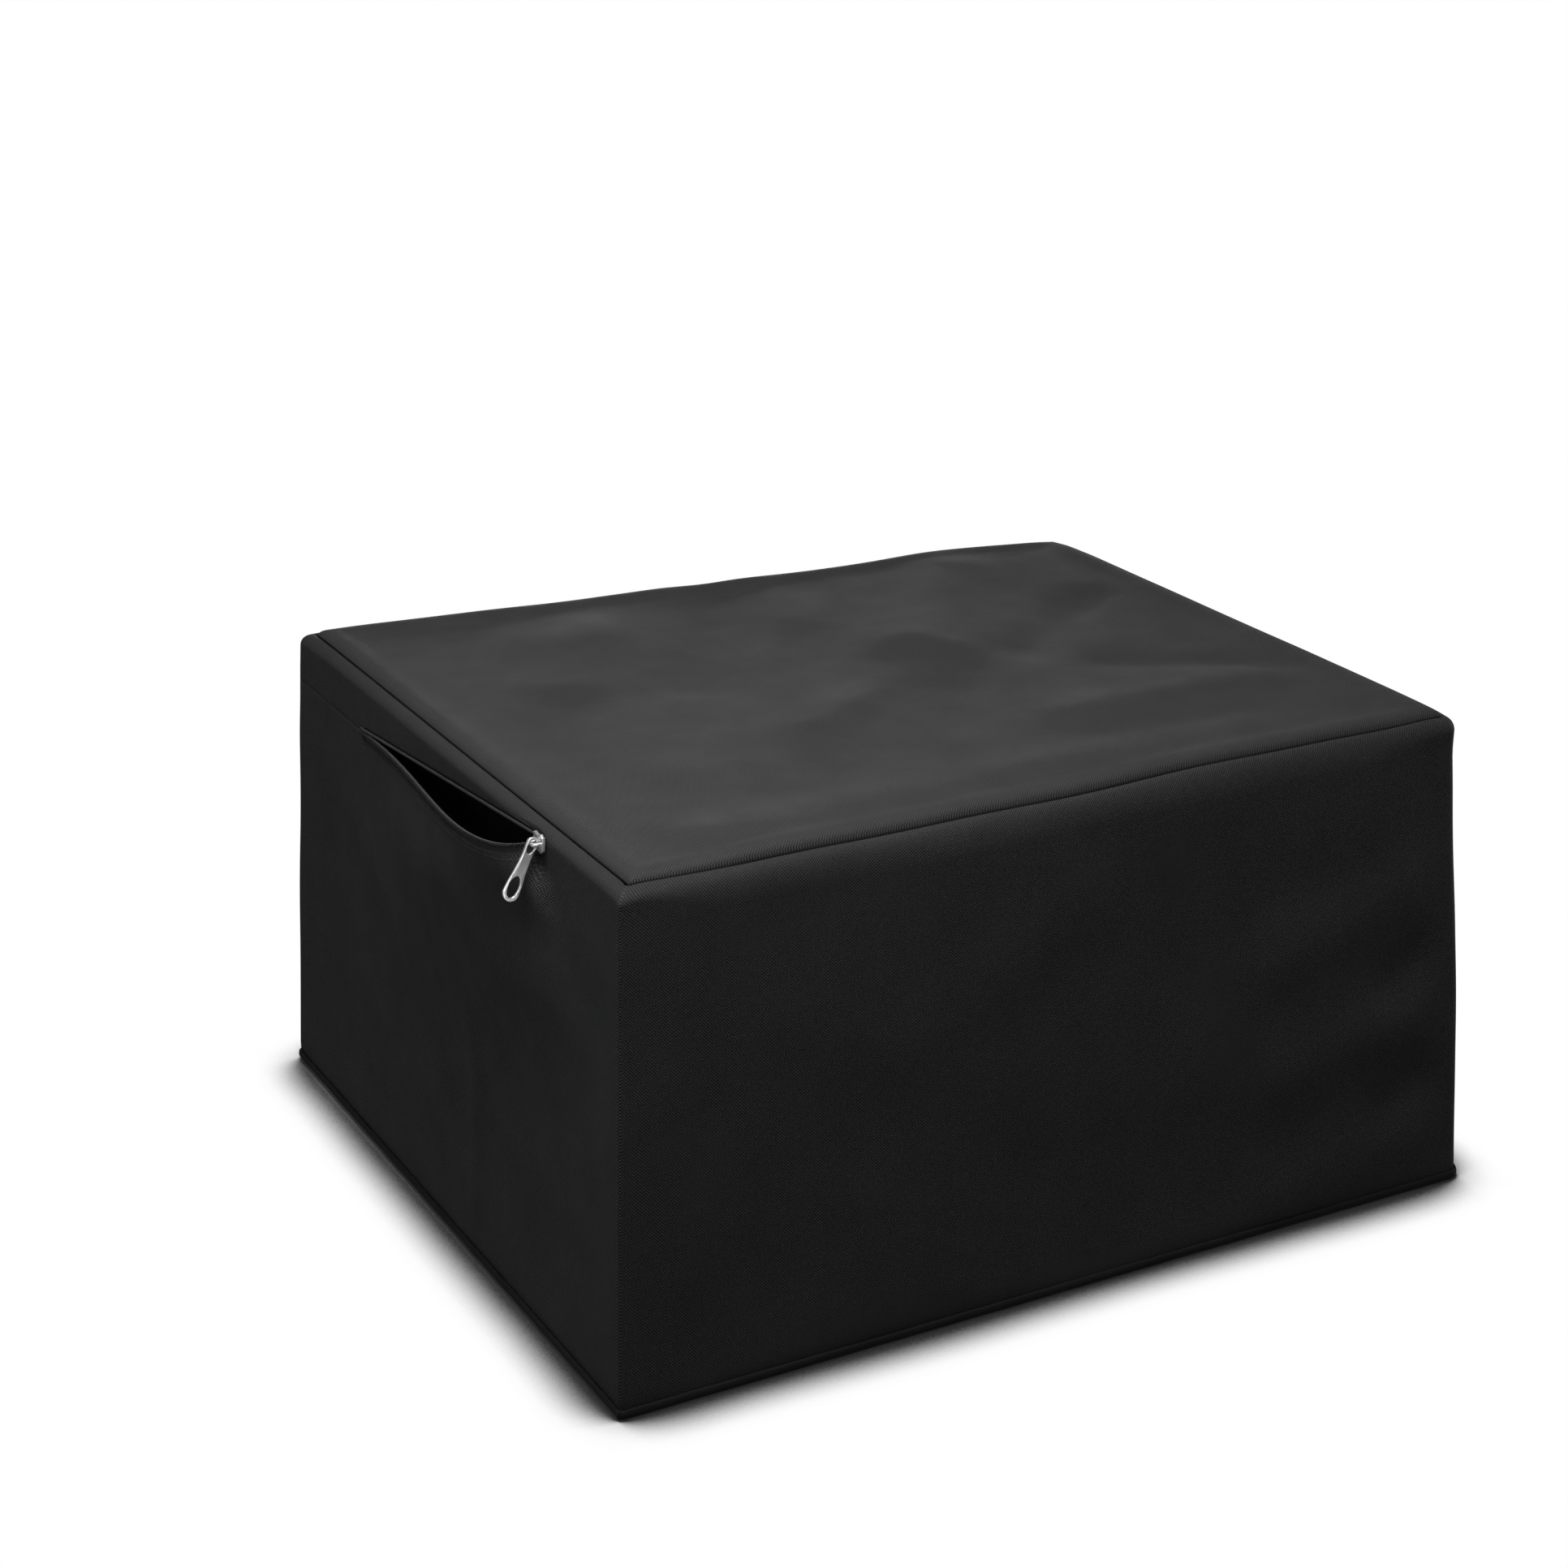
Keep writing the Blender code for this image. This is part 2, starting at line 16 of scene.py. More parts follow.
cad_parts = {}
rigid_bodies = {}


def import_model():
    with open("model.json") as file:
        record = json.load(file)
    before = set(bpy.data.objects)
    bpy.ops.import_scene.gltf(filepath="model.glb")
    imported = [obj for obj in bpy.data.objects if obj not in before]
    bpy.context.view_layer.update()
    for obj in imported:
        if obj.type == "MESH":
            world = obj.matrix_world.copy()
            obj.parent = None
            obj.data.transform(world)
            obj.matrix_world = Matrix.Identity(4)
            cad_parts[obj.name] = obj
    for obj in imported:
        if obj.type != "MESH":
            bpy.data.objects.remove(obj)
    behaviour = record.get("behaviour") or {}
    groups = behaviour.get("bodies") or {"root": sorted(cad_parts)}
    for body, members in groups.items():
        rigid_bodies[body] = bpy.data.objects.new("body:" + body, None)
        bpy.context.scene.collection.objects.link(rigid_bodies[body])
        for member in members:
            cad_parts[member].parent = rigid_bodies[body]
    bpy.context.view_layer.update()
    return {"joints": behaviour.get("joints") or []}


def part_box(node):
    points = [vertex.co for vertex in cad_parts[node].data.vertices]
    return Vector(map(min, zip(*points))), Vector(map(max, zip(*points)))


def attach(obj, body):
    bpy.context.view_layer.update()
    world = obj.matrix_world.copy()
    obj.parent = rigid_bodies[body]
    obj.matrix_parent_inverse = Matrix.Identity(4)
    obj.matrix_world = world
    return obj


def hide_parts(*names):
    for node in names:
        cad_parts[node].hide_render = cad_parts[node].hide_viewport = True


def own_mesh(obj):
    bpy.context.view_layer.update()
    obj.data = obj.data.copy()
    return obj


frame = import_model()

MM = 0.001

# ---------------------------------------------------------------- places taken from the frame

MITRE_GAP = 0.25 * MM
SLIDER_REST = 8 * MM  # from the zip's front end to the middle of the slider

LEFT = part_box("front_panel")[0].x - MITRE_GAP
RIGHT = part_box("right_panel")[1].x
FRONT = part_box("front_panel")[0].y
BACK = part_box("back_panel")[1].y
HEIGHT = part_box("front_panel")[1].z
WIDTH = RIGHT - LEFT
DEPTH = BACK - FRONT

JOINTS = {joint["name"]: joint for joint in frame["joints"]}
ALONG = np.array(JOINTS["zip_slide"]["axis"])
OUT = np.array((-1.0, 0.0, 0.0))
DOWN = np.cross(OUT, ALONG)
PIVOT = np.array(JOINTS["pull_swing"]["pos_m"])
SLIDER_AT = np.array((LEFT, PIVOT[1], PIVOT[2]))
ZIP_ORIGIN = SLIDER_AT - ALONG * SLIDER_REST
ZIP_LENGTH = (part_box("zip_tape_upper")[1].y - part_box("zip_tape_upper")[0].y) / ALONG[1]
PULL_ANGLE = math.radians(30)

# ---------------------------------------------------------------- driving dimensions

CLOTH = 0.5 * MM
BINDING_THICK = 0.35 * MM
TAPE_THICK = 0.4 * MM
LINING_THICK = 0.3 * MM
WALL_FOOT = 14 * MM
TOP_INSET = 8.3 * MM
CURL_DEPTH = 6.5 * MM
SEAM_WIDTH = 1.5 * MM
SEAM_DIP = 0.8 * MM
STEP = 5 * MM

# The slot for the zip, below and above the zip line, and the open lip, which bows out and drops
SLOT_BELOW = 6.5 * MM
SLOT_ABOVE = 3 * MM
SLOT_ENDS = (3 * MM, 3.4 * MM)
LIP_FIRST = SLIDER_REST + 4 * MM
SLOT_TAPER = 9 * MM
LIP_BOW = 20 * MM
LIP_DROP = 4 * MM
LIP_PEAK = 0.863  # the highest value of the lip's formula, which scales it to 1
BOW_REACH = 150 * MM
DROP_REACH = 80 * MM
COIL_OFFSET = 1.1 * MM
COIL_HALF = 0.72 * MM
COIL_PITCH = 1.35 * MM
TAPE_INSET = 0.9 * MM

Side = namedtuple("Side", "start run inward length radii rises levels")

# Each side runs between two corners. radii are its two corners' radii. rises and levels say how tall its
# rounded top edge is and how far below the top it ends, at the first corner, the middle and the last.
SIDES = {
    "front": Side((LEFT, FRONT, 0), (1, 0, 0), (0, 1, 0), WIDTH, (2, 8), (5.5, 16, 7), (2.2, 4.0, 2.6)),
    "right": Side((RIGHT, FRONT, 0), (0, 1, 0), (-1, 0, 0), DEPTH, (8, 10), (7, 7, 7), (2.6, 2.6, 2.6)),
    "back": Side((RIGHT, BACK, 0), (-1, 0, 0), (0, -1, 0), WIDTH, (10, 4), (7, 7, 6), (2.6, 2.6, 2.4)),
    "left": Side((LEFT, BACK, 0), (0, -1, 0), (1, 0, 0), DEPTH, (4, 2), (6, 5, 5.5), (2.4, 2.2, 2.2)),
}

# How far each upright corner droops at its top, and how far round it the droop reaches
DROOPS = {
    (LEFT, FRONT): (1.5, 8),
    (RIGHT, FRONT): (1.5, 14),
    (RIGHT, BACK): (3.5, 22),
    (LEFT, BACK): (1, 12),
}

# How far the cloth's corners lean from the CAD box: (towards the right, the back, the top) and the shift
LEANING = {
    (0, 1, 0): (0, 8 * MM, 1 * MM),
    (0, 1, 1): (0, 8 * MM, 2 * MM),
    (1, 0, 0): (3.5 * MM, 0, 0),
    (1, 0, 1): (4 * MM, 0, 2.5 * MM),
    (1, 1, 0): (11 * MM, -8 * MM, 0),
    (1, 1, 1): (18.5 * MM, -12.5 * MM, -7.5 * MM),
}

# Soft folds: the middle as shares of the face, then length in mm, direction in degrees,
# half width in mm and height in mm. A valley's height is negative.
TOP_FOLDS = [
    (0.7, 0.75, 150, 55, 28, 2.8),
    (0.8, 0.6, 120, 40, 20, -1.8),
    (0.4, 0.75, 180, 60, 22, -2.0),
    (0.25, 0.75, 110, 60, 24, 1.8),
    (0.5, 0.45, 150, 30, 16, 1.3),
    (0.85, 0.35, 100, -30, 16, -1.8),
    (0.75, 0.25, 120, 0, 18, 1.8),
    (0.45, 0.1, 320, 0, 20, 1.5),
]
# Bands by the front's right edge, with a short hollow above the two lower ones
FRONT_BANDS = [(0.84, up, 80, 12, 20, 2.0) for up in (0.1, 0.35, 0.6)]
FRONT_HOLLOWS = [(0.92, up, 20, 30, 14, -2.2) for up in (0.22, 0.47)]
FRONT_FOLDS = FRONT_BANDS + FRONT_HOLLOWS + [
    (0.4, 0.65, 110, 25, 22, 1.0),
    (0.6, 0.35, 100, 80, 30, -1.2),
]
LEFT_FOLDS = [
    (0.85, 0.35, 110, 80, 20, -1.5),
    (0.6, 0.5, 130, 40, 16, 1.3),
    (0.4, 0.3, 100, 90, 8, 1.0),
    (0.2, 0.15, 30, 45, 13, -1.6),
]
BACK_FOLDS = [
    (0.3, 0.65, 120, -35, 24, 1.6),
    (0.6, 0.6, 140, -60, 20, -1.4),
    (0.8, 0.4, 110, 50, 22, 1.6),
    (0.4, 0.15, 120, 10, 18, -1.2),
]
RIGHT_FOLDS = [
    (0.25, 0.6, 110, -35, 22, 1.8),
    (0.6, 0.6, 120, -45, 18, -1.6),
    (0.8, 0.4, 110, 50, 22, 1.6),
    (0.3, 0.2, 110, 15, 20, -1.3),
]
# How deep behind its face a side's folds reach, and how softly folds fade at a side's head and foot and
# at the top's left and right rims
FACE_REACH = 30 * MM
HEAD_FADE = 25 * MM
FOOT_FADE = 12 * MM
RIM_FADE = 60 * MM
# How much the folds on the top and the front are deepened, and how far the front seam waves, in mm
FOLD_GAIN = 1.25
FRONT_WAVE = 0.7


# ---------------------------------------------------------------- the soft warp


def ease(value):
    value = np.clip(value, 0, 1)
    return value * value * (3 - 2 * value)


def relief(folds, a, b, size):
    """The sum of soft ridges and valleys at (a, b) on a face of this size, all in millimetres."""
    total = np.zeros_like(a)
    for across, up, length, turn, width, height in folds:
        from_middle_a = a - across * size[0]
        from_middle_b = b - up * size[1]
        cos, sin = math.cos(math.radians(turn)), math.sin(math.radians(turn))
        past_end = np.maximum(abs(from_middle_a * cos + from_middle_b * sin) - length / 2, 0)
        aside = from_middle_b * cos - from_middle_a * sin
        total += height * np.exp(-(past_end**2 + aside**2) / width**2)
    return total


def unevenness(points, wavelength, seed):
    shift = Vector((seed * 3.7, seed * 1.3, seed * 5.1))
    flat = points.reshape(-1, 3) / wavelength
    values = [noise.noise(Vector(point) + shift) for point in flat]
    return np.array(values).reshape(points.shape[:-1])


def warp(points):
    """Carries points of the flat box to the soft cover."""
    x, y, z = points[..., 0], points[..., 1], points[..., 2]
    share = {0: (x - LEFT) / WIDTH, 1: (y - FRONT) / DEPTH, 2: z / HEIGHT}
    moved = points.copy()
    for corner, shift in LEANING.items():
        weight = 1.0
        for axis, high in enumerate(corner):
            near = np.clip(share[axis], 0, 1)
            weight = weight * (near if high else 1 - near)
        moved += weight[..., None] * np.array(shift)
    a, b, c = (x - LEFT) / MM, (y - FRONT) / MM, z / MM
    wide, deep, high = WIDTH / MM, DEPTH / MM, HEIGHT / MM
    top = ease((z - (HEIGHT - 45 * MM)) / (40 * MM))
    by_top = top * ease((x - LEFT - 8 * MM) / RIM_FADE) * (0.25 + 0.75 * ease((RIGHT - x) / RIM_FADE))
    by_side = ease((HEIGHT - z) / HEAD_FADE) * ease(z / FOOT_FADE)
    by_front = ease(1 - (y - FRONT) / FACE_REACH) * by_side
    by_back = ease(1 - (BACK - y) / FACE_REACH) * by_side
    by_right = ease(1 - (RIGHT - x) / FACE_REACH) * by_side
    by_left = ease(1 - (x - LEFT) / FACE_REACH) * ease((212 * MM - z) / (30 * MM)) * ease(z / FOOT_FADE)
    soft = unevenness(points, 70 * MM, 1) * 1.6
    wavy = FRONT_WAVE * np.sin((x - LEFT) / (46 * MM)) * ease(1 - (y - FRONT) / RIM_FADE)
    moved[..., 2] += by_top * (FOLD_GAIN * relief(TOP_FOLDS, a, b, (wide, deep)) + soft + wavy) * MM
    moved[..., 1] -= by_front * (FOLD_GAIN * relief(FRONT_FOLDS, a, c, (wide, high)) + soft) * MM
    moved[..., 1] += by_back * (relief(BACK_FOLDS, a, c, (wide, high)) + soft) * MM
    moved[..., 0] += by_right * (relief(RIGHT_FOLDS, b, c, (deep, high)) + soft) * MM
    moved[..., 0] -= by_left * (relief(LEFT_FOLDS, b, c, (deep, high)) + 0.6 * soft) * MM
    for (corner_x, corner_y), (droop, reach) in DROOPS.items():
        away = ((x - corner_x) ** 2 + (y - corner_y) ** 2) / (reach * MM) ** 2
        moved[..., 2] -= top * droop * MM * np.exp(-away)
    return moved


# ---------------------------------------------------------------- the pocket's lip


def lip_open(share):
    """How far out the lip's edge hangs along the mouth: steep behind the slider, long towards the rear."""
    return np.sin(math.pi * np.sqrt(share)) * (1 - share) ** 0.6 / LIP_PEAK


def soft_left(flat):
    """The warp, and where the open pocket's lower lip hangs, a bow outwards and a slight drop."""
    offset = flat - ZIP_ORIGIN
    along, below = offset @ ALONG, offset @ DOWN
    widened = np.clip(0.8 * (below - SLOT_BELOW), 0, 55 * MM)
    share = np.clip((along - LIP_FIRST + widened) / (ZIP_LENGTH - LIP_FIRST + 2 * widened), 0, 1)
    softer = ease((below - 4 * MM) / (45 * MM))
    spread = lip_open(share) * (1 - softer) + np.sin(math.pi * share**0.65) ** 2 * softer
    on_lip = below > 0
    out = LIP_BOW * spread * on_lip * np.cos(math.pi / 2 * np.clip(below / BOW_REACH, 0, 1)) ** 2
    drop = LIP_DROP * spread * on_lip * np.clip(1 - below / DROP_REACH, 0, 1) ** 2
    return warp(flat) + out[..., None] * OUT + drop[..., None] * DOWN


def zip_points(along, below, inset):
    """Points of the pocket's layers: how far along the zip, below its line and in from the outer face."""
    along, below, inset = np.broadcast_arrays(along, below, inset)
    flat = ZIP_ORIGIN + along[..., None] * ALONG + below[..., None] * DOWN
    return soft_left(flat) - inset[..., None] * OUT


def zip_height(y, below):
    """Height of the line this far below the zip line, level beyond the zip's two ends."""
    run = np.clip((y - ZIP_ORIGIN[1]) / ALONG[1], -1 * MM, ZIP_LENGTH + 1 * MM)
    return ZIP_ORIGIN[2] + run * ALONG[2] - below / -DOWN[2]


# ---------------------------------------------------------------- meshes


def link(name, mesh, material):
    made = bpy.data.objects.new(name, mesh)
    bpy.context.scene.collection.objects.link(made)
    mesh.materials.append(material)
    mesh.shade_smooth()
    return made


def sheet(name, points, outward, material, weave, thickness=CLOTH):
    """A cloth piece from a (rows, columns, 3) grid. weave holds each point's place on the cloth, in mm."""
    rows, columns = points.shape[:2]
    index = np.arange(rows * columns).reshape(rows, columns)
    ring = [index[:-1, :-1], index[:-1, 1:], index[1:, 1:], index[1:, :-1]]
    quads = np.stack(ring, axis=-1).reshape(-1, 4)
    flat = points.reshape(-1, 3)
    corners = flat[quads]
    normals = np.cross(corners[:, 2] - corners[:, 0], corners[:, 3] - corners[:, 1])
    if (normals @ np.array(outward, float)).sum() < 0:
        quads = quads[:, ::-1]
    mesh = bpy.data.meshes.new(name)
    mesh.from_pydata(flat.tolist(), [], quads.tolist())
    place = mesh.attributes.new("cloth", "FLOAT_VECTOR", "POINT")
    across = np.zeros((rows * columns, 3), np.float32)
    across[:, :2] = weave.reshape(-1, 2)
    place.data.foreach_set("vector", across.ravel())
    bm = bmesh.new()
    bm.from_mesh(mesh)
    bmesh.ops.remove_doubles(bm, verts=bm.verts, dist=0.01 * MM)
    bm.to_mesh(mesh)
    bm.free()
    made = link(name, mesh, material)
    shell = made.modifiers.new("Cloth thickness", "SOLIDIFY")
    shell.thickness = thickness
    shell.offset = -1
    evenly_shaded(made)
    return made


def evenly_shaded(made):
    """Keeps flat faces flat to the eye, next to narrow rims and rounded edges."""
    even = made.modifiers.new("Even shading", "WEIGHTED_NORMAL")
    even.weight = 60


def tube_mesh(name, path, radii, sides=8):
    """A closed tube round a path of points; radii holds its radius at each."""
    path = np.array(path, float)
    tangents = np.gradient(path, axis=0)
    tangents /= np.linalg.norm(tangents, axis=1)[:, None]
    side = np.cross(tangents[0], (0.31, 0.87, 0.38))
    rings = []
    for point, tangent, radius in zip(path, tangents, np.broadcast_to(radii, len(path))):
        side = side - tangent * (side @ tangent)
        side /= np.linalg.norm(side)
        other = np.cross(tangent, side)
        turns = np.arange(sides) * 2 * math.pi / sides
        rings.append(point + radius * (np.cos(turns)[:, None] * side + np.sin(turns)[:, None] * other))
    bm = bmesh.new()
    made = [[bm.verts.new(corner) for corner in ring] for ring in rings]
    for low, high in zip(made, made[1:]):
        for n in range(sides):
            m = (n + 1) % sides
            bm.faces.new((low[n], low[m], high[m], high[n]))
    bm.faces.new(list(reversed(made[0])))
    bm.faces.new(made[-1])
    bmesh.ops.recalc_face_normals(bm, faces=bm.faces)
    mesh = bpy.data.meshes.new(name)
    bm.to_mesh(mesh)
    bm.free()
    return mesh


def joined(name, meshes, material):
    """One object from several loose meshes, such as a row of stitches."""
    bm = bmesh.new()
    for mesh in meshes:
        bm.from_mesh(mesh)
        bpy.data.meshes.remove(mesh)
    whole = bpy.data.meshes.new(name)
    bm.to_mesh(whole)
    bm.free()
    return link(name, whole, material)


def prism(name, outline, low, high):
    bm = bmesh.new()
    face = bm.faces.new([bm.verts.new((x, y, low)) for x, y in outline])
    raised = bmesh.ops.extrude_face_region(bm, geom=[face])
    top = [v for v in raised["geom"] if isinstance(v, bmesh.types.BMVert)]
    bmesh.ops.translate(bm, verts=top, vec=(0, 0, high - low))
    bmesh.ops.recalc_face_normals(bm, faces=bm.faces)
    mesh = bpy.data.meshes.new(name)
    bm.to_mesh(mesh)
    bm.free()
    return mesh


def rounded(made, width, segments=3):
    bevel = made.modifiers.new("Rounded edges", "BEVEL")
    bevel.width = width
    bevel.segments = segments
    bevel.limit_method = "ANGLE"
    bevel.angle_limit = math.radians(40)
    evenly_shaded(made)


def axes_matrix(x_axis, y_axis, z_axis, origin):
    turn = Matrix((Vector(x_axis), Vector(y_axis), Vector(z_axis))).transposed()
    return Matrix.Translation(Vector(origin)) @ turn.to_4x4()


# ---------------------------------------------------------------- materials


def new_material(name):
    made = bpy.data.materials.new(name)
    made.use_nodes = True
    return made, made.node_tree.nodes, made.node_tree.links, made.node_tree.nodes["Principled BSDF"]


def maths(nodes, links, operation, first, second=None):
    """A Math node fed by sockets or numbers."""
    node = nodes.new("ShaderNodeMath")
    node.operation = operation
    for slot, value in zip(node.inputs, (first, second)):
        if value is None:
            continue
        if isinstance(value, (int, float)):
            slot.default_value = value
        else:
            links.new(value, slot)
    return node.outputs[0]


def woven_material(name, colour, pitch, highlight_contrast, depth, roughness, sheen, shine=0.15, diagonal=0.0):
    """Plain weave from the cloth's own coordinates: crossing threads, mottling, and bump. The crossings'
    much lighter colour is painted highlight on the raised threads, laid over the weave's own pattern.
    """
    made, nodes, links, shader = new_material(name)
    place = nodes.new("ShaderNodeAttribute")
    place.attribute_name = "cloth"
    turn = nodes.new("ShaderNodeVectorRotate")
    turn.rotation_type = "Z_AXIS"
    turn.inputs["Angle"].default_value = diagonal
    links.new(place.outputs["Vector"], turn.inputs["Vector"])
    scale = nodes.new("ShaderNodeVectorMath")
    scale.operation = "SCALE"
    scale.inputs["Scale"].default_value = 2 * math.pi / pitch
    links.new(turn.outputs["Vector"], scale.inputs[0])
    wave = nodes.new("ShaderNodeVectorMath")
    wave.operation = "SINE"
    links.new(scale.outputs["Vector"], wave.inputs[0])
    apart = nodes.new("ShaderNodeSeparateXYZ")
    links.new(wave.outputs["Vector"], apart.inputs[0])
    cross = maths(nodes, links, "MULTIPLY", apart.outputs["X"], apart.outputs["Y"])
    height = maths(nodes, links, "MULTIPLY_ADD", cross, 0.5)
    height.node.inputs[2].default_value = 0.5
    mottle = nodes.new("ShaderNodeTexNoise")
    mottle.inputs["Scale"].default_value = 0.035
    mottle.inputs["Detail"].default_value = 3
    links.new(place.outputs["Vector"], mottle.inputs["Vector"])
    fibre = nodes.new("ShaderNodeTexNoise")
    fibre.inputs["Scale"].default_value = 1.7
    fibre.inputs["Detail"].default_value = 2
    links.new(place.outputs["Vector"], fibre.inputs["Vector"])
    crisp = nodes.new("ShaderNodeMapRange")
    crisp.interpolation_type = "SMOOTHSTEP"
    crisp.inputs["From Min"].default_value = 0.3
    crisp.inputs["From Max"].default_value = 0.85
    links.new(height, crisp.inputs["Value"])
    # Painted highlight: the thread crossings are coloured far lighter than the gaps, as light caught on the
    # raised threads.
    thread = maths(nodes, links, "MULTIPLY", crisp.outputs["Result"], highlight_contrast)
    uneven = maths(nodes, links, "MULTIPLY", mottle.outputs["Fac"], 0.25)
    grain = maths(nodes, links, "MULTIPLY", fibre.outputs["Fac"], 0.25)
    tone = maths(nodes, links, "ADD", maths(nodes, links, "ADD", thread, uneven), grain)
    mix = nodes.new("ShaderNodeMix")
    mix.data_type = "RGBA"
    mix.inputs["A"].default_value = (*[0.05 * c for c in colour], 1)
    mix.inputs["B"].default_value = (*[3.4 * c for c in colour], 1)
    links.new(tone, mix.inputs["Factor"])
    links.new(mix.outputs["Result"], shader.inputs["Base Color"])
    rough = nodes.new("ShaderNodeMapRange")
    rough.inputs["To Min"].default_value = roughness + 0.08
    rough.inputs["To Max"].default_value = roughness - 0.08
    links.new(mottle.outputs["Fac"], rough.inputs["Value"])
    links.new(rough.outputs["Result"], shader.inputs["Roughness"])
    shader.inputs["Specular IOR Level"].default_value = shine
    shader.inputs["Sheen Weight"].default_value = sheen
    shader.inputs["Sheen Roughness"].default_value = 0.45
    lift = maths(nodes, links, "ADD", height, maths(nodes, links, "MULTIPLY", fibre.outputs["Fac"], 0.3))
    bump = nodes.new("ShaderNodeBump")
    bump.inputs["Strength"].default_value = 0.9
    bump.inputs["Distance"].default_value = depth
    links.new(lift, bump.inputs["Height"])
    links.new(bump.outputs["Normal"], shader.inputs["Normal"])
    return made


def metal_material():
    made, nodes, links, shader = new_material("nickel_plate")
    shader.inputs["Metallic"].default_value = 0.7
    place = nodes.new("ShaderNodeTexCoord")
    smear = nodes.new("ShaderNodeTexNoise")
    smear.inputs["Scale"].default_value = 260
    smear.inputs["Detail"].default_value = 4
    links.new(place.outputs["Object"], smear.inputs["Vector"])
    tone = nodes.new("ShaderNodeMix")
    tone.data_type = "RGBA"
    tone.inputs["A"].default_value = (0.68, 0.68, 0.69, 1)
    tone.inputs["B"].default_value = (0.86, 0.86, 0.85, 1)
    links.new(smear.outputs["Fac"], tone.inputs["Factor"])
    links.new(tone.outputs["Result"], shader.inputs["Base Color"])
    rough = nodes.new("ShaderNodeMapRange")
    rough.inputs["To Min"].default_value = 0.14
    rough.inputs["To Max"].default_value = 0.3
    links.new(smear.outputs["Fac"], rough.inputs["Value"])
    links.new(rough.outputs["Result"], shader.inputs["Roughness"])
    bump = nodes.new("ShaderNodeBump")
    bump.inputs["Strength"].default_value = 0.15
    bump.inputs["Distance"].default_value = 0.05 * MM
    links.new(smear.outputs["Fac"], bump.inputs["Height"])
    links.new(bump.outputs["Normal"], shader.inputs["Normal"])
    return made


def yarn_material(name, dark, light):
    """Flecked thread and coil wire."""
    made, nodes, links, shader = new_material(name)
    place = nodes.new("ShaderNodeTexCoord")
    fleck = nodes.new("ShaderNodeTexNoise")
    fleck.inputs["Scale"].default_value = 900
    links.new(place.outputs["Object"], fleck.inputs["Vector"])
    tone = nodes.new("ShaderNodeMix")
    tone.data_type = "RGBA"
    tone.inputs["A"].default_value = (dark, dark, dark, 1)
    tone.inputs["B"].default_value = (light, light, light, 1)
    links.new(fleck.outputs["Fac"], tone.inputs["Factor"])
    links.new(tone.outputs["Result"], shader.inputs["Base Color"])
    rough = nodes.new("ShaderNodeMapRange")
    rough.inputs["To Min"].default_value = 0.22
    rough.inputs["To Max"].default_value = 0.42
    links.new(fleck.outputs["Fac"], rough.inputs["Value"])
    links.new(rough.outputs["Result"], shader.inputs["Roughness"])
    return made


# Painted light: one fabric in a lit copy for the top, with a lighter colour, more sheen and more shine, and
# a shaded copy for the sides, with a darker colour, so the top reads brighter.
CLOTH_TOP_LIT = woven_material("woven_top_lit", (0.022, 0.022, 0.0223), 1.5, 0.8, 0.2 * MM, 0.6, 0.08, 0.2)
CLOTH_SIDE_SHADED = woven_material("woven_side_shaded", (0.02, 0.02, 0.0203), 1.5, 1.0, 0.3 * MM, 0.55, 0.03)
BINDING = woven_material("binding_ribbed", (0.009, 0.009, 0.0093), 0.55, 0.5, 0.08 * MM, 0.7, 0.03)
TWILL_TURN = math.radians(45)
TAPE = woven_material("zip_tape_twill", (0.02, 0.02, 0.021), 0.6, 0.8, 0.1 * MM, 0.6, 0.05, 0.2, TWILL_TURN)
LINING = woven_material("lining_taffeta", (0.008, 0.008, 0.0085), 0.4, 0.4, 0.04 * MM, 0.6, 0.02)
METAL = metal_material()
COIL = yarn_material("coil_polyester", 0.02, 0.07)
THREAD = yarn_material("sewing_thread", 0.03, 0.08)


def keep(made, slot, *nodes, body="cover"):
    """Sets what a finished piece rides on and hides the CAD nodes it stands for. slot is not used."""
    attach(made, body)
    if nodes:
        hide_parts(*nodes)
    return made


# ---------------------------------------------------------------- sides, top and bindings


def stations(length):
    """Places along a run: close together at both ends, where the cloth turns round the corner."""
    ends = np.array([0, 0.5, 1.0, 1.6, 2.3, 3.2, 4.4, 6, 9, 13]) * MM
    middle = np.linspace(18 * MM, length - 18 * MM, round((length - 36 * MM) / STEP))
    return np.concatenate([ends, middle, length - ends[::-1]])


def side_grid(side, runs, insets, heights):
    """The (rows, columns, 3) grid of a side, before the warp. insets and heights have a row per level."""
    place = SIDES[side]
    insets = np.array(np.broadcast_to(rows_of(insets), (len(heights), len(runs))))
    heights = np.broadcast_to(rows_of(heights), insets.shape)
    span = place.length - 2 * insets
    near = runs[None, :] / place.length * span
    at = insets + near
    deep = insets.copy()
    for distance, radius, end in ((near, place.radii[0] * MM, 0), (span - near, place.radii[1] * MM, 1)):
        bend = np.maximum(radius - insets, 1.2 * MM)
        turning = distance < bend
        angle = math.pi / 4 * np.clip(1 - distance / bend, 0, 1)
        reach = insets + bend * (1 - np.sin(angle))
        at = np.where(turning, place.length - reach if end else reach, at)
        deep = np.where(turning, insets + bend * (1 - np.cos(angle)), deep)
        deep = deep + SEAM_DIP * np.clip(1 - distance / SEAM_WIDTH, 0, 1) ** 2
        if side == "left" and end == 1:
            deep = deep - 0.5 * MM * np.exp(-(((distance - 1.7 * MM) / (1 * MM)) ** 2))
    run, inward = np.array(place.run, float), np.array(place.inward, float)
    grid = np.array(place.start, float) + at[..., None] * run + deep[..., None] * inward
    grid[..., 2] = heights
    return grid


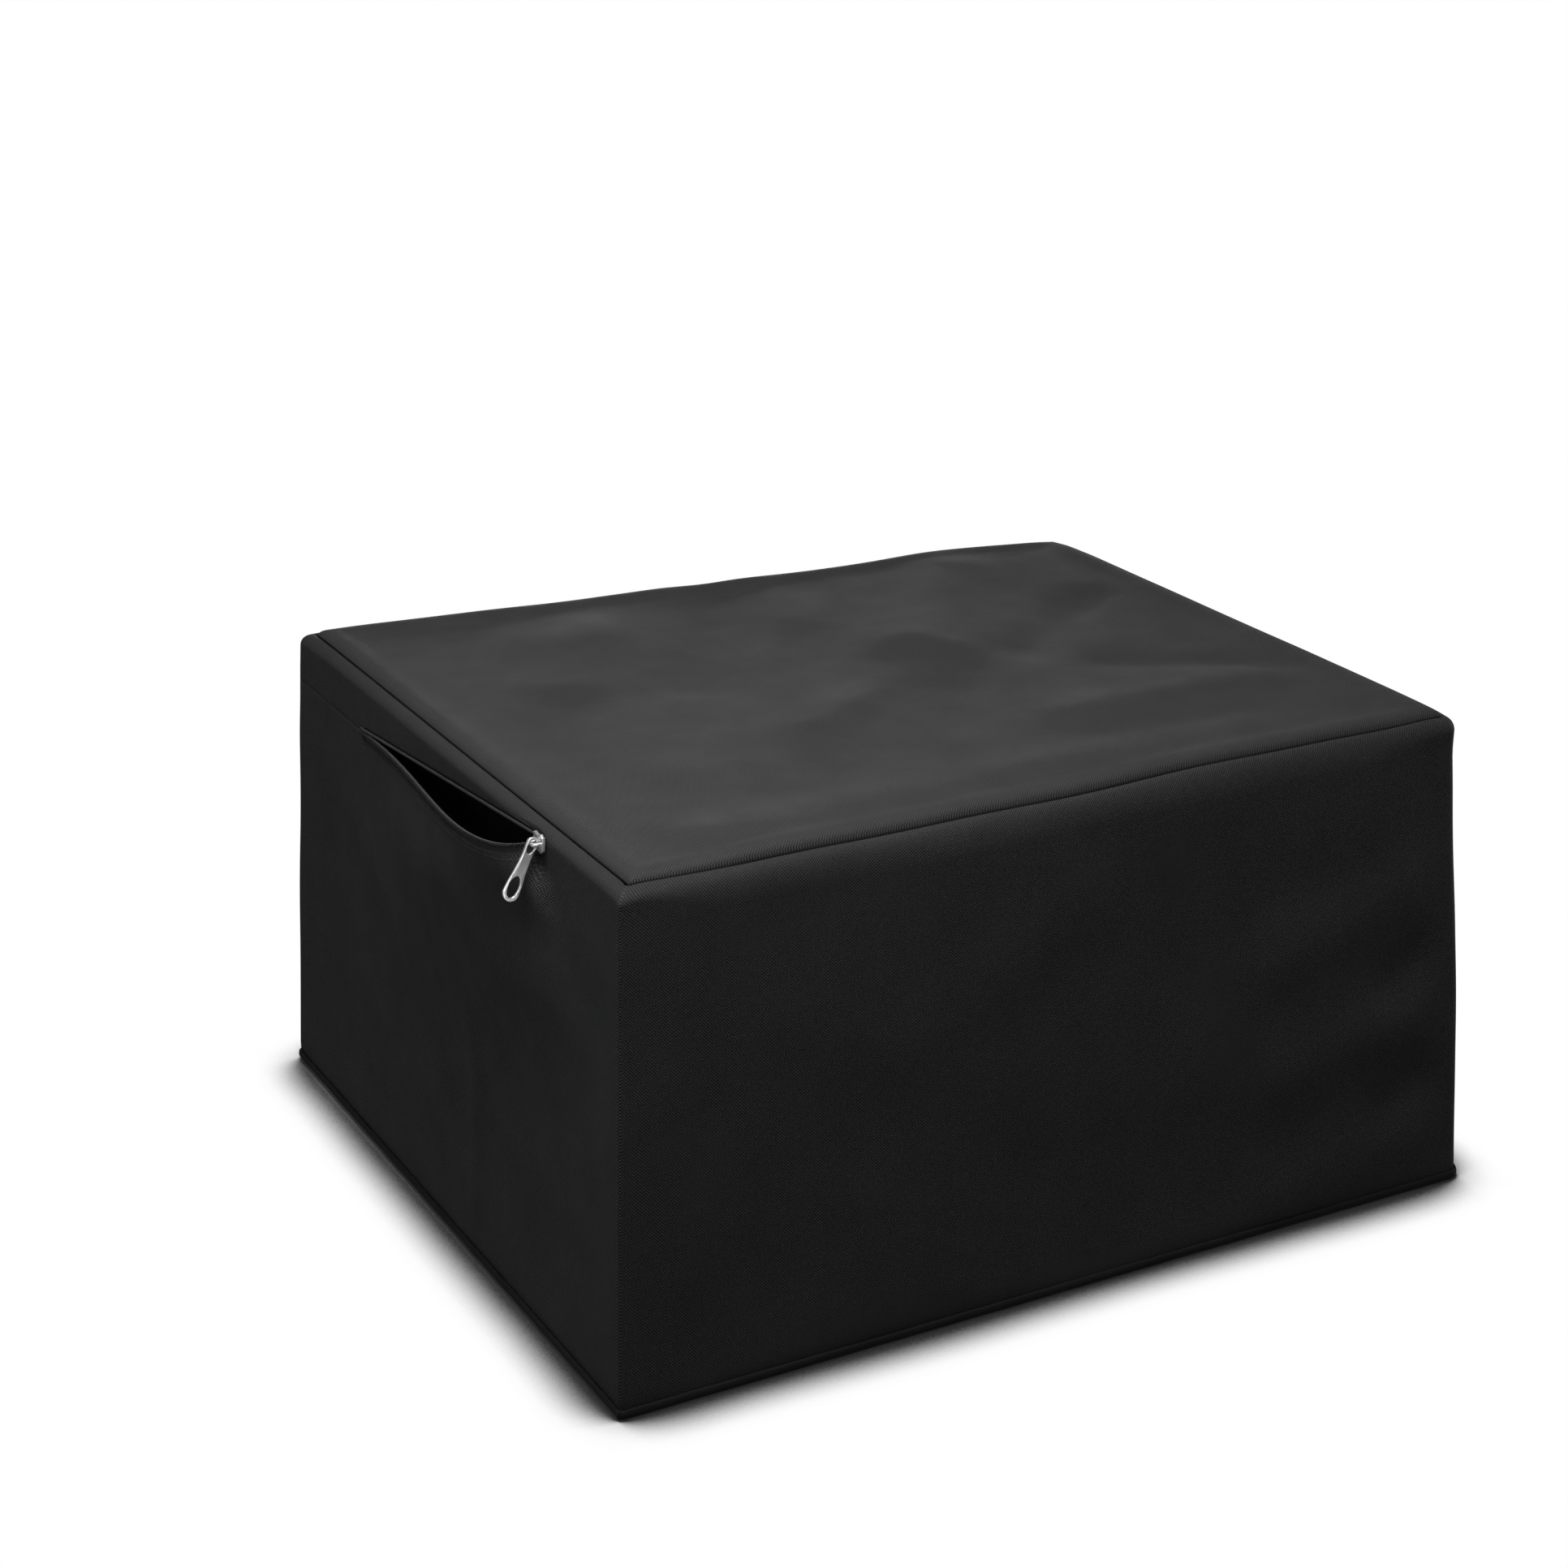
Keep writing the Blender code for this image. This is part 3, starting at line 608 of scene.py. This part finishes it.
def rows_of(values):
    """One number for each row, or for each row and column, as an array with both directions."""
    values = np.asarray(values, float)
    return values[:, None] if values.ndim == 1 else values


def along_side(values, side, runs):
    """Blends a side's three values, in millimetres: at its first corner, its middle and its last corner."""
    first, middle, last = values
    length = SIDES[side].length
    near, far = ease(runs / (70 * MM)), ease((length - runs) / (70 * MM))
    return (middle + (first - middle) * (1 - near) + (last - middle) * (1 - far)) * MM


FOOT = [(1.0, 2.0), (0.7, 4.0), (0.3, 6.0), (0.05, 9.0)]


def foot_rows(runs):
    """The bottom of a side, where it is caught in the hem binding."""
    return [(inset * MM, np.full_like(runs, height * MM)) for inset, height in FOOT]


def edge_rows(side, runs):
    """The rounded top edge of a side, and its turn down into the seam's groove."""
    rise = along_side(SIDES[side].rises, side, runs)
    level = HEIGHT - along_side(SIDES[side].levels, side, runs)
    turns = np.linspace(0, math.pi / 2, 11)
    curl = [(CURL_DEPTH * (1 - math.cos(t)), level - rise * (1 - math.sin(t))) for t in turns]
    return curl + [(CURL_DEPTH + 0.1 * MM, level - 0.4 * MM), (CURL_DEPTH + 0.12 * MM, level - 2 * MM)]


def stack_rows(rows, runs):
    """Splits (inset, height) rows into two arrays, with each point's length along the cloth."""
    insets = np.array([np.broadcast_to(inset, runs.shape) for inset, _ in rows])
    heights = np.array([np.broadcast_to(height, runs.shape) for _, height in rows])
    steps = np.hypot(np.diff(insets, axis=0), np.diff(heights, axis=0))
    lengths = np.cumsum(np.vstack([np.zeros_like(runs), steps]), axis=0)
    weave = np.stack([np.broadcast_to(runs / MM, lengths.shape), lengths / MM], axis=-1)
    return insets, heights, weave


def lengths_along(section):
    steps = np.linalg.norm(np.diff(np.array(section), axis=0), axis=1)
    return np.concatenate([[0], np.cumsum(steps)])


def weave_grid(runs, lengths):
    return np.stack(np.meshgrid(runs / MM, lengths / MM), axis=-1)


def outward_of(side):
    return -np.array(SIDES[side].inward, float)


def make_side(side):
    runs = stations(SIDES[side].length)
    edge = edge_rows(side, runs)
    low = WALL_FOOT
    wall = [(0.0, low + (edge[0][1] - low) * share) for share in np.linspace(0, 1, 48)[:-1]]
    insets, heights, weave = stack_rows(foot_rows(runs) + wall + edge, runs)
    grid = warp(side_grid(side, runs, insets, heights))
    made = sheet(f"{side}_cloth", grid, outward_of(side), CLOTH_SIDE_SHADED, weave)
    keep(made, "woven", f"{side}_panel")


def make_top():
    """The top sheet: softly puffed along its seams, then rolled down into their groove."""
    across = np.array([0, 0.15, 0.4, 0.8, 1.3, 2, 3, 4.2, 6, 8.5, 12]) * MM
    spans = (WIDTH - 2 * TOP_INSET, DEPTH - 2 * TOP_INSET)
    axes = []
    for span in spans:
        middle = np.linspace(16 * MM, span - 16 * MM, round((span - 32 * MM) / STEP))
        axes.append(np.concatenate([across, middle, span - across[::-1]]))
    x, y = np.meshgrid(axes[0], axes[1])
    edge = np.minimum(np.minimum(x, spans[0] - x), np.minimum(y, spans[1] - y))
    by_front = along_side(SIDES["front"].levels, "front", x + TOP_INSET)
    level = 2.4 * MM + (by_front - 2.4 * MM) * ease(1 - y / (12 * MM))
    dive = (level + 1 * MM) * (1 - np.sqrt(1 - np.clip(1 - edge / (3.4 * MM), 0, 1) ** 2))
    puff = 1.1 * MM * np.exp(-(((edge - 8 * MM) / (6 * MM)) ** 2)) * ease(edge / (5 * MM))
    grid = np.stack([LEFT + TOP_INSET + x, FRONT + TOP_INSET + y, HEIGHT - dive + puff], axis=-1)
    weave = np.stack([x / MM, y / MM], axis=-1)
    made = sheet("top_cloth", warp(grid), (0, 0, 1), CLOTH_TOP_LIT, weave)
    keep(made, "woven", "top_panel")


def make_hem(side):
    """The binding rolled round the side's bottom edge."""
    runs = stations(SIDES[side].length)
    section = [
        (0.1, 4.9), (-0.45, 4.7), (-0.85, 4.0), (-1.0, 3.0), (-0.9, 1.9), (-0.5, 0.9), (0.1, 0.3),
        (0.9, 0.12), (1.6, 0.5), (2.0, 1.4), (2.0, 4.6),
    ]
    section = np.array(section) * MM
    insets, heights = section.T
    grid = side_grid(side, runs, insets, heights)
    ripple = unevenness(grid, 12 * MM, 5) * 0.22 * MM
    grid = grid + ripple[..., None] * outward_of(side)
    weave = weave_grid(runs, lengths_along(section))
    made = sheet(f"hem_roll_{side}", warp(grid), outward_of(side), BINDING, weave, BINDING_THICK)
    keep(made, "binding", f"hem_binding_{side}")


def make_seam_binding(side):
    """The U of tape under the top edge, round the two seam allowances."""
    runs = stations(SIDES[side].length)
    near, far = TOP_INSET - 2 * MM, TOP_INSET + 2 * MM
    foot, top = HEIGHT - 12 * MM, HEIGHT - 7 * MM
    turns = np.linspace(0, math.pi, 7)
    turn = [(TOP_INSET - 2 * MM * math.cos(t), foot - 0.8 * MM * math.sin(t)) for t in turns]
    section = [(near, top), (near, top - 2 * MM), *turn, (far, top - 2 * MM), (far, top + 3 * MM)]
    insets, heights = np.array(section).T
    grid = warp(side_grid(side, runs, insets, heights))
    weave = weave_grid(runs, lengths_along(section))
    made = sheet(f"top_seam_tape_{side}", grid, (0, 0, -1), BINDING, weave, BINDING_THICK)
    keep(made, "binding", f"top_seam_binding_{side}")


def make_corner_tape(name, x, y, x_in, y_in, radius):
    """The L of tape over the upright seam inside a corner, bent a little more softly than the cloth."""
    inset, bend = 1 * MM, (radius + 2) * MM
    centre = inset + bend
    turns = np.linspace(0, math.pi / 2, 9)
    turn = [(centre - bend * math.sin(t), centre - bend * math.cos(t)) for t in turns]
    end = max(9 * MM, centre + 1 * MM)
    path = [(end, inset), *turn, (inset, end)]
    heights = np.linspace(5 * MM, HEIGHT - 10 * MM, 48)
    across = np.array(path)
    grid = np.zeros((len(heights), len(path), 3))
    grid[..., 0] = x + x_in * across[:, 0]
    grid[..., 1] = y + y_in * across[:, 1]
    grid[..., 2] = heights[:, None]
    weave = weave_grid(lengths_along(path), heights)
    made = sheet(f"corner_tape_{name}", warp(grid), (x_in, y_in, 0), BINDING, weave, BINDING_THICK)
    keep(made, "binding", f"corner_seam_tape_{name}")


for side in ("front", "right", "back"):
    make_side(side)
make_top()
for side in SIDES:
    make_hem(side)
    make_seam_binding(side)
make_corner_tape("front_left", LEFT, FRONT, 1, 1, SIDES["front"].radii[0])
make_corner_tape("front_right", RIGHT, FRONT, -1, 1, SIDES["right"].radii[0])
make_corner_tape("back_right", RIGHT, BACK, -1, -1, SIDES["back"].radii[0])
make_corner_tape("back_left", LEFT, BACK, 1, -1, SIDES["left"].radii[0])


# ---------------------------------------------------------------- left side and its pocket


def slot_share(y):
    """1 along the zip's slot and 0 beyond its ends."""
    first, last = slot_ends()
    return ease((y - first) / (1.2 * MM)) * ease((last - y) / (1.2 * MM))


def slot_ends():
    front, rear = SLOT_ENDS
    return ZIP_ORIGIN[1] + front, ZIP_ORIGIN[1] + ZIP_LENGTH * ALONG[1] - rear


def slot_width(y):
    """How much of its full width the slot has: it closes to a point at both ends."""
    first, last = slot_ends()
    inwards = np.clip(np.minimum(y - first, last - y) / SLOT_TAPER, 0, 1)
    return np.sin(math.pi / 2 * inwards) ** 0.7


def left_runs():
    """Places along the left side, from the back, closer at the slot's ends and behind the slider."""
    first, last = slot_ends()
    steps = (0, 0.3, 0.7, 1.2, 2, 3, 4.2, 5.6, 7.2, 9)
    ends = [BACK - first - d * MM for d in steps] + [BACK - last + d * MM for d in steps]
    near_slider = [BACK - ZIP_ORIGIN[1] - d * MM for d in (8, 10, 12, 14, 16, 18.5, 21, 24)]
    return np.unique(np.round(np.concatenate([stations(DEPTH), ends, near_slider]), 5))


def make_left_lower():
    """The left side below the zip, whose upper edge is turned in and bows out as the pocket's lip."""
    runs = left_runs()
    y = BACK - runs
    top = zip_height(y, SLOT_BELOW * slot_width(y))
    low = WALL_FOOT
    falls = 1 - np.linspace(1, 0, 52)[1:] ** 1.25
    wall = [(0.0, low + (top - low) * fall) for fall in [0.0, *falls]]
    inside = slot_share(y)
    turned = [(0.25, 0.4), (0.6, 0.45), (0.8, 0.0), (0.8, -2)]
    edge = [(inset * MM * inside, top + rise * MM * inside) for inset, rise in turned]
    rows = foot_rows(runs) + wall + edge
    insets, heights, weave = stack_rows(rows, runs)
    grid = soft_left(side_grid("left", runs, insets, heights))
    made = sheet("left_cloth_lower", grid, OUT, CLOTH_SIDE_SHADED, weave)
    keep(made, "woven", "left_panel")
    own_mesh(made)


def make_left_upper():
    """The strip above the zip, and the rounded top edge."""
    runs = left_runs()
    y = BACK - runs
    inside = slot_share(y)
    low = zip_height(y, -SLOT_ABOVE * slot_width(y))
    edge = edge_rows("left", runs)
    turned = [(0.8, 2), (0.8, 0.2), (0.45, -0.35), (0.15, -0.2)]
    rows = [(inset * MM * inside, low + rise * MM * inside) for inset, rise in turned]
    start = np.maximum(edge[0][1], low)
    rows += [(0.0, low + (start - low) * share) for share in np.linspace(0, 1, 8)[:-1]]
    rows += [(inset, np.maximum(height, low) if inset < 3 * MM else height) for inset, height in edge]
    insets, heights, weave = stack_rows(rows, runs)
    grid = warp(side_grid("left", runs, insets, heights))
    made = sheet("left_cloth_upper", grid, OUT, CLOTH_SIDE_SHADED, weave)
    keep(made, "woven", "left_panel")


def zip_runs(first, last, step=2.5 * MM):
    return np.linspace(first, last, round((last - first) / step) + 1)


def make_tapes():
    along = zip_runs(0, ZIP_LENGTH)
    below = np.array([0.5, 1.2, 2.2, 3.4, 4.6, 6, 8, 11, 14]) * MM
    lower = zip_points(along[None, :], below[:, None], TAPE_INSET)
    made = sheet("zip_tape_lower_cloth", lower, OUT, TAPE, weave_grid(along, below), TAPE_THICK)
    keep(made, "zip_tape", "zip_tape_lower")
    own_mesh(made)
    above = np.array([0.5, 1.2, 2, 2.8, 3.6]) * MM
    upper = zip_points(along[None, :], -above[:, None], (TAPE_INSET + 0.3 * above)[:, None])
    made = sheet("zip_tape_upper_cloth", upper, OUT, TAPE, weave_grid(along, above), TAPE_THICK)
    keep(made, "zip_tape", "zip_tape_upper")


def coil_mesh(name, side):
    """A coil's turns along one side of the zip line: side is 1 below it and -1 above."""
    turns = (ZIP_LENGTH - 6 * MM) / COIL_PITCH
    angles = np.arange(0, turns * 2 * math.pi, 2 * math.pi / 10)
    along = 2.5 * MM + angles / (2 * math.pi) * COIL_PITCH
    centre = zip_points(along, side * COIL_OFFSET, 0.1 * MM)
    swing = -side * COIL_HALF * np.cos(angles)[:, None] * DOWN + 0.6 * MM * np.sin(angles)[:, None] * OUT
    return tube_mesh(name, centre + swing, 0.28 * MM, 6)


def make_coils():
    lower = link("coil_turns_lower", coil_mesh("coil_turns_lower", 1), COIL)
    keep(lower, "zip_coil", "zip_coil_lower")
    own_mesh(lower)
    upper = link("coil_turns_upper", coil_mesh("coil_turns_upper", -1), COIL)
    keep(upper, "zip_coil", "zip_coil_upper")


def stitch_row(name, along, below, slant, thick):
    """A row of stitches that follows the pocket's lip. slant is each stitch's (along, below) run."""
    meshes = []
    for place in along:
        shares = np.linspace(-0.5, 0.5, 7)
        path = zip_points(place + slant[0] * shares, below + slant[1] * shares, 0.0)
        path = path + (0.5 * thick * np.cos(math.pi * shares))[:, None] * OUT
        meshes.append(tube_mesh(name, path, thick / 2 * np.clip(np.cos(2.7 * shares), 0.3, 1), 6))
    return joined(name, meshes, THREAD)


def make_stitches():
    """The ribbed row that binds tape and lip together, and a row of topstitching beside it."""
    first, last = 5 * MM, ZIP_LENGTH - 5 * MM
    rows = {
        "lip_rib_stitches": (np.arange(first, last, 1.6 * MM), 5.6 * MM, (0.9 * MM, 1.5 * MM), 0.55 * MM),
        "lip_topstitches": (np.arange(first, last, 2.9 * MM), 8.4 * MM, (2.1 * MM, 0.0), 0.4 * MM),
    }
    for name, (along, below, slant, thick) in rows.items():
        made = stitch_row(name, along, below, slant, thick)
        keep(made, "woven")
        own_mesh(made)


def make_stops():
    ends = {
        "zip_front_stop": (0.2 * MM, -1.4 * MM, 2.0 * MM),
        "zip_rear_stop_upper": (ZIP_LENGTH - 2.9 * MM, -2.7 * MM, -0.5 * MM),
        "zip_rear_stop_lower": (ZIP_LENGTH - 2.9 * MM, 0.5 * MM, 2.7 * MM),
    }
    for node, (first, near, far) in ends.items():
        outline = [(first, near), (first + 2.4 * MM, near), (first + 2.4 * MM, far), (first, far)]
        made = link(f"{node}_clamp", prism(node, outline, -2.5 * MM, -1.5 * MM), METAL)
        middle = ZIP_ORIGIN + first * ALONG
        made.matrix_world = axes_matrix(ALONG, DOWN, OUT, ZIP_ORIGIN + warp(middle[None])[0] - middle)
        rounded(made, 0.3 * MM, 3)
        keep(made, "zip_metal", node)


def make_pocket():
    """The bag's two linings: one behind the lip, one hanging from the top seam with soft upright folds."""
    along = zip_runs(-4 * MM, ZIP_LENGTH + 4 * MM, 4 * MM)
    below = np.array([5.5, 8, 12, 17, 23, 31, 41, 53, 67, 82, 98, 114, 128, 138]) * MM
    front = zip_points(along[None, :], below[:, None], 2.7 * MM)
    made = sheet("pocket_lining_front", front, OUT, LINING, weave_grid(along, below), LINING_THICK)
    keep(made, "lining", "pocket_bag")
    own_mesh(made)
    along = zip_runs(-10 * MM, ZIP_LENGTH + 10 * MM, 4 * MM)
    levels = np.linspace(0, 1, 34)[:, None]
    foot = (ZIP_ORIGIN + along[:, None] * ALONG + 138 * MM * DOWN)[None]
    grid = np.repeat(foot, len(levels), axis=0)
    crest = HEIGHT - 9 * MM
    grid[..., 2] = crest + (grid[..., 2] - crest) * levels
    bulge = np.clip(np.sin(math.pi * along / ZIP_LENGTH), 0, 1)[None, :] ** 0.5
    swell = np.sin(math.pi * levels**0.8) * bulge
    folds = 8 * MM + 1.6 * MM * np.sin(along / (17 * MM))[None, :]
    sealed = ease((along + 10 * MM) / (8 * MM)) * ease((ZIP_LENGTH + 10 * MM - along) / (8 * MM))
    grid[..., 0] = LEFT + 1.6 * MM + 2.8 * MM * sealed[None, :] + folds * swell
    weave = weave_grid(along, levels[:, 0] * 150 * MM)
    made = sheet("pocket_lining_back", warp(grid), OUT, LINING, weave, LINING_THICK)
    keep(made, "lining", "pocket_bag")


def make_bag_bindings():
    below = np.linspace(12 * MM, 136 * MM, 26)
    for name, end, turn in (("front", -4 * MM, -1), ("rear", ZIP_LENGTH + 4 * MM, 1)):
        angles = np.linspace(-math.pi / 2, math.pi / 2, 7)
        loop = [(end + turn * 0.9 * MM * math.cos(t), 3.6 * MM + 1.6 * MM * math.sin(t)) for t in angles]
        path = [(end - turn * 3 * MM, 2.0 * MM), *loop, (end - turn * 3 * MM, 5.2 * MM)]
        along, inset = np.array(path).T
        grid = zip_points(along[None, :], below[:, None], 0.0) - inset[None, :, None] * OUT
        grid[..., 0] = LEFT + inset[None, :]
        weave = weave_grid(lengths_along(path), below)
        made = sheet(f"pocket_edge_tape_{name}", grid, ALONG * turn, BINDING, weave, BINDING_THICK)
        keep(made, "binding", f"pocket_bag_binding_{name}")


make_left_lower()
make_left_upper()
make_tapes()
make_coils()
make_stitches()
make_stops()
make_pocket()
make_bag_bindings()


# ---------------------------------------------------------------- slider and pull tab


def mirrored(half):
    return [(x * MM, y * MM) for x, y in half] + [(x * MM, -y * MM) for x, y in reversed(half)]


def on_slider(made):
    made.matrix_world = axes_matrix(ALONG, DOWN, OUT, SLIDER_AT)
    return keep(made, "zip_metal", "zip_slider", body="slider")


def make_slider():
    """Two plates joined by a wedge, and a bar over the outer one. Each plate has two shoulders a side."""
    rear = [(-5.7, 1.0), (-5.4, 3.2), (-3.4, 4.7), (-1.6, 4.1)]
    nose = [(1.4, 4.1), (3.6, 4.9), (5.8, 4.3), (5.0, 2.6), (5.8, 0.9)]
    plate = rear + nose
    wedge = [(1.0, 0.3), (2.2, 0.9), (4.4, 1.1)]
    for name, half, low, high, edge in (
        ("slider_top_plate", plate, 1.2, 2.9, 0.45),
        ("slider_bottom_plate", plate, -4.3, -3.2, 0.3),
        ("slider_wedge", wedge, -3.4, 1.6, 0.15),
    ):
        made = link(name, prism(name, mirrored(half), low * MM, high * MM), METAL)
        rounded(made, edge * MM)
        on_slider(made)
    reach, crown, bend = 3.4, 6.4, 1.6
    turns = np.linspace(0, math.pi / 2, 7)
    half = [(reach, 1.6), (reach, 3.2)]
    half += [(reach - bend * (1 - math.cos(t)), crown - bend * (1 - math.sin(t))) for t in turns]
    path = [(x * MM, 0.0, z * MM) for x, z in half] + [(-x * MM, 0.0, z * MM) for x, z in reversed(half)]
    on_slider(link("slider_bridge", tube_mesh("slider_bridge", path, 0.95 * MM, 16), METAL))


def pull_outline():
    """The pull tab's edge: a round head, a slight waist and a wide round end, as (along, across) points."""
    head, end, centre = 3.3 * MM, 4.65 * MM, 24 * MM
    turns = np.radians(np.linspace(105, 255, 15))
    points = [(head * math.cos(t), head * math.sin(t)) for t in turns]
    waist = [(5.5, 2.75), (10, 2.9), (15, 3.45), (19.5, 4.15)]
    points += [(x * MM, -y * MM) for x, y in waist]
    turns = np.radians(np.linspace(-80, 80, 17))
    points += [(centre + end * math.cos(t), end * math.sin(t)) for t in turns]
    points += [(x * MM, y * MM) for x, y in reversed(waist)]
    return points


def ring_points(count, place):
    """A closed ring of points in metres. place gives a point's (along, across) in mm for its angle."""
    ring = [place(2 * math.pi * n / count) for n in range(count)]
    return [(along * MM, across * MM) for along, across in ring]


def make_pull():
    curve = bpy.data.curves.new("pull_outline", "CURVE")
    curve.dimensions = "2D"
    curve.fill_mode = "BOTH"
    curve.extrude = 0.32 * MM
    curve.bevel_depth = 0.38 * MM
    curve.bevel_resolution = 3
    curve.offset = -0.38 * MM
    eye = ring_points(26, lambda t: (1.5 + 3.55 * math.cos(t), (2.1 - 0.35 * math.cos(t)) * math.sin(t)))
    finger = ring_points(30, lambda t: (21.6 + 5.3 * math.cos(t), 2.95 * math.sin(t)))
    for points in (pull_outline(), eye, finger):
        spline = curve.splines.new("POLY")
        spline.points.add(len(points) - 1)
        spline.use_cyclic_u = True
        for knot, (x, y) in zip(spline.points, points):
            knot.co = (x, y, 0, 1)
    source = bpy.data.objects.new("pull_outline", curve)
    bpy.context.scene.collection.objects.link(source)
    graph = bpy.context.evaluated_depsgraph_get()
    mesh = bpy.data.meshes.new_from_object(source.evaluated_get(graph))
    bpy.data.objects.remove(source)
    bm = bmesh.new()
    bm.from_mesh(mesh)
    bmesh.ops.remove_doubles(bm, verts=bm.verts, dist=0.005 * MM)
    for vert in bm.verts:
        head = math.exp(-((vert.co.x / (3.4 * MM)) ** 2))
        vert.co.z *= 1 + 0.35 * head
    bmesh.ops.recalc_face_normals(bm, faces=bm.faces)
    bm.to_mesh(mesh)
    bm.free()
    mesh.materials.clear()
    pull = link("pull_tab", mesh, METAL)
    evenly_shaded(pull)
    length = DOWN * math.cos(PULL_ANGLE) + OUT * math.sin(PULL_ANGLE)
    pull.matrix_world = axes_matrix(length, np.cross(ALONG, length), ALONG, PIVOT)
    keep(pull, "zip_metal", "zip_pull_tab", body="pull_tab")


make_slider()
make_pull()


# ---------------------------------------------------------------- floor, light and camera


def seen_by(nodes, links, camera, glossy, other):
    """A colour that differs for camera rays, reflections and everything else."""
    rays = nodes.new("ShaderNodeLightPath")
    tone = other
    for output, value in (("Is Glossy Ray", glossy), ("Is Camera Ray", camera)):
        mix = nodes.new("ShaderNodeMix")
        mix.data_type = "RGBA"
        links.new(rays.outputs[output], mix.inputs["Factor"])
        for slot, source in (("A", tone), ("B", value)):
            if isinstance(source, float):
                mix.inputs[slot].default_value = (source, source, source, 1)
            else:
                links.new(source, mix.inputs[slot])
        tone = mix.outputs["Result"]
    return tone


def make_stage():
    """A white floor with a soft contact shadow, under a white sky that lights the cloth only faintly."""
    bpy.ops.mesh.primitive_plane_add(size=30, location=(0, 5, 0))
    floor = bpy.context.object
    floor.name = "floor"
    made, nodes, links, shader = new_material("floor_white")
    shade = nodes.new("ShaderNodeAmbientOcclusion")
    shade.samples = 16
    shade.inputs["Distance"].default_value = 42 * MM
    ramp = nodes.new("ShaderNodeMapRange")
    ramp.interpolation_type = "SMOOTHSTEP"
    ramp.inputs["From Min"].default_value = 0.53
    ramp.inputs["From Max"].default_value = 0.92
    ramp.inputs["To Min"].default_value = 0.02
    ramp.inputs["To Max"].default_value = 1.0
    links.new(shade.outputs["AO"], ramp.inputs["Value"])
    glow = nodes.new("ShaderNodeEmission")
    links.new(seen_by(nodes, links, ramp.outputs["Result"], 0.14, 0.04), glow.inputs["Color"])
    links.new(glow.outputs["Emission"], nodes["Material Output"].inputs["Surface"])
    nodes.remove(shader)
    floor.data.materials.append(made)
    world = bpy.data.worlds.new("studio")
    bpy.context.scene.world = world
    world.use_nodes = True
    nodes, links = world.node_tree.nodes, world.node_tree.links
    links.new(seen_by(nodes, links, 1.0, 0.1, 0.06), nodes["Background"].inputs["Color"])
    bpy.context.scene.view_settings.view_transform = "Standard"


def make_light(name, place, target, size, power, only=None):
    """A rectangular lamp aimed at target, in metres and watts. only is the collection that it lights."""
    lamp = bpy.data.lights.new(name, "AREA")
    lamp.shape = "RECTANGLE"
    lamp.size, lamp.size_y = size
    lamp.energy = power
    made = bpy.data.objects.new(name, lamp)
    bpy.context.scene.collection.objects.link(made)
    made.location = place
    made.rotation_euler = (Vector(target) - Vector(place)).to_track_quat("-Z", "Y").to_euler()
    made.visible_camera = False
    if only:
        made.light_linking.receiver_collection = only


CAMERA_AT = (-0.89885, -1.5989, 0.8503)
CAMERA_TURN = math.radians(-28.35)
CAMERA_LENS = 75.05
CAMERA_SHIFT = -0.7507


def make_camera():
    """A level camera with a shifted lens, which keeps the upright edges parallel.

    The shift belongs to the camera's own height, so a driver drops it at any other height.
    """
    lens = bpy.data.cameras.new("camera")
    lens.lens = CAMERA_LENS
    lens.sensor_width = 36
    camera = bpy.data.objects.new("camera", lens)
    bpy.context.scene.collection.objects.link(camera)
    camera.location = CAMERA_AT
    camera.rotation_euler = (math.radians(90), 0, CAMERA_TURN)
    lens.shift_y = CAMERA_SHIFT
    driver = lens.driver_add("shift_y").driver
    place = driver.variables.new()
    place.name = "height"
    place.type = "TRANSFORMS"
    place.targets[0].id = camera
    place.targets[0].transform_type = "LOC_Z"
    place.targets[0].transform_space = "WORLD_SPACE"
    driver.expression = f"{CAMERA_SHIFT} if abs(height - {CAMERA_AT[2]}) < 0.00005 else 0"
    bpy.context.scene.camera = camera


make_stage()
make_light("overhead", (-0.28, -0.3, 0.98), (0, 0, 0.2), (0.5, 0.5), 7)
make_light("left_window", (-2.4, -0.4, 0.9), (0, 0, 0.1), (1.0, 1.0), 2)
make_light("front_fill", (-0.9, -2.4, 1.0), (-0.1, 0, 0.1), (1.4, 1.0), 3)
make_light("back_fill", (0.9, 2.4, 0.2), (0, 0, 0.12), (1.6, 0.35), 9)
make_light("right_fill", (2.6, -0.1, 0.2), (0, 0, 0.12), (1.6, 0.35), 7)
bright_pieces = bpy.data.collections.new("bright_pieces")
for piece in bpy.context.scene.objects:
    if piece.type == "MESH" and piece.active_material == METAL:
        bright_pieces.objects.link(piece)
make_light("metal_card", (0.02, -0.78, 0.13), tuple(SLIDER_AT), (0.5, 0.4), 6, bright_pieces)
make_light("metal_sky", (-0.9, -0.5, 0.8), tuple(SLIDER_AT), (0.4, 0.4), 2, bright_pieces)
make_camera()
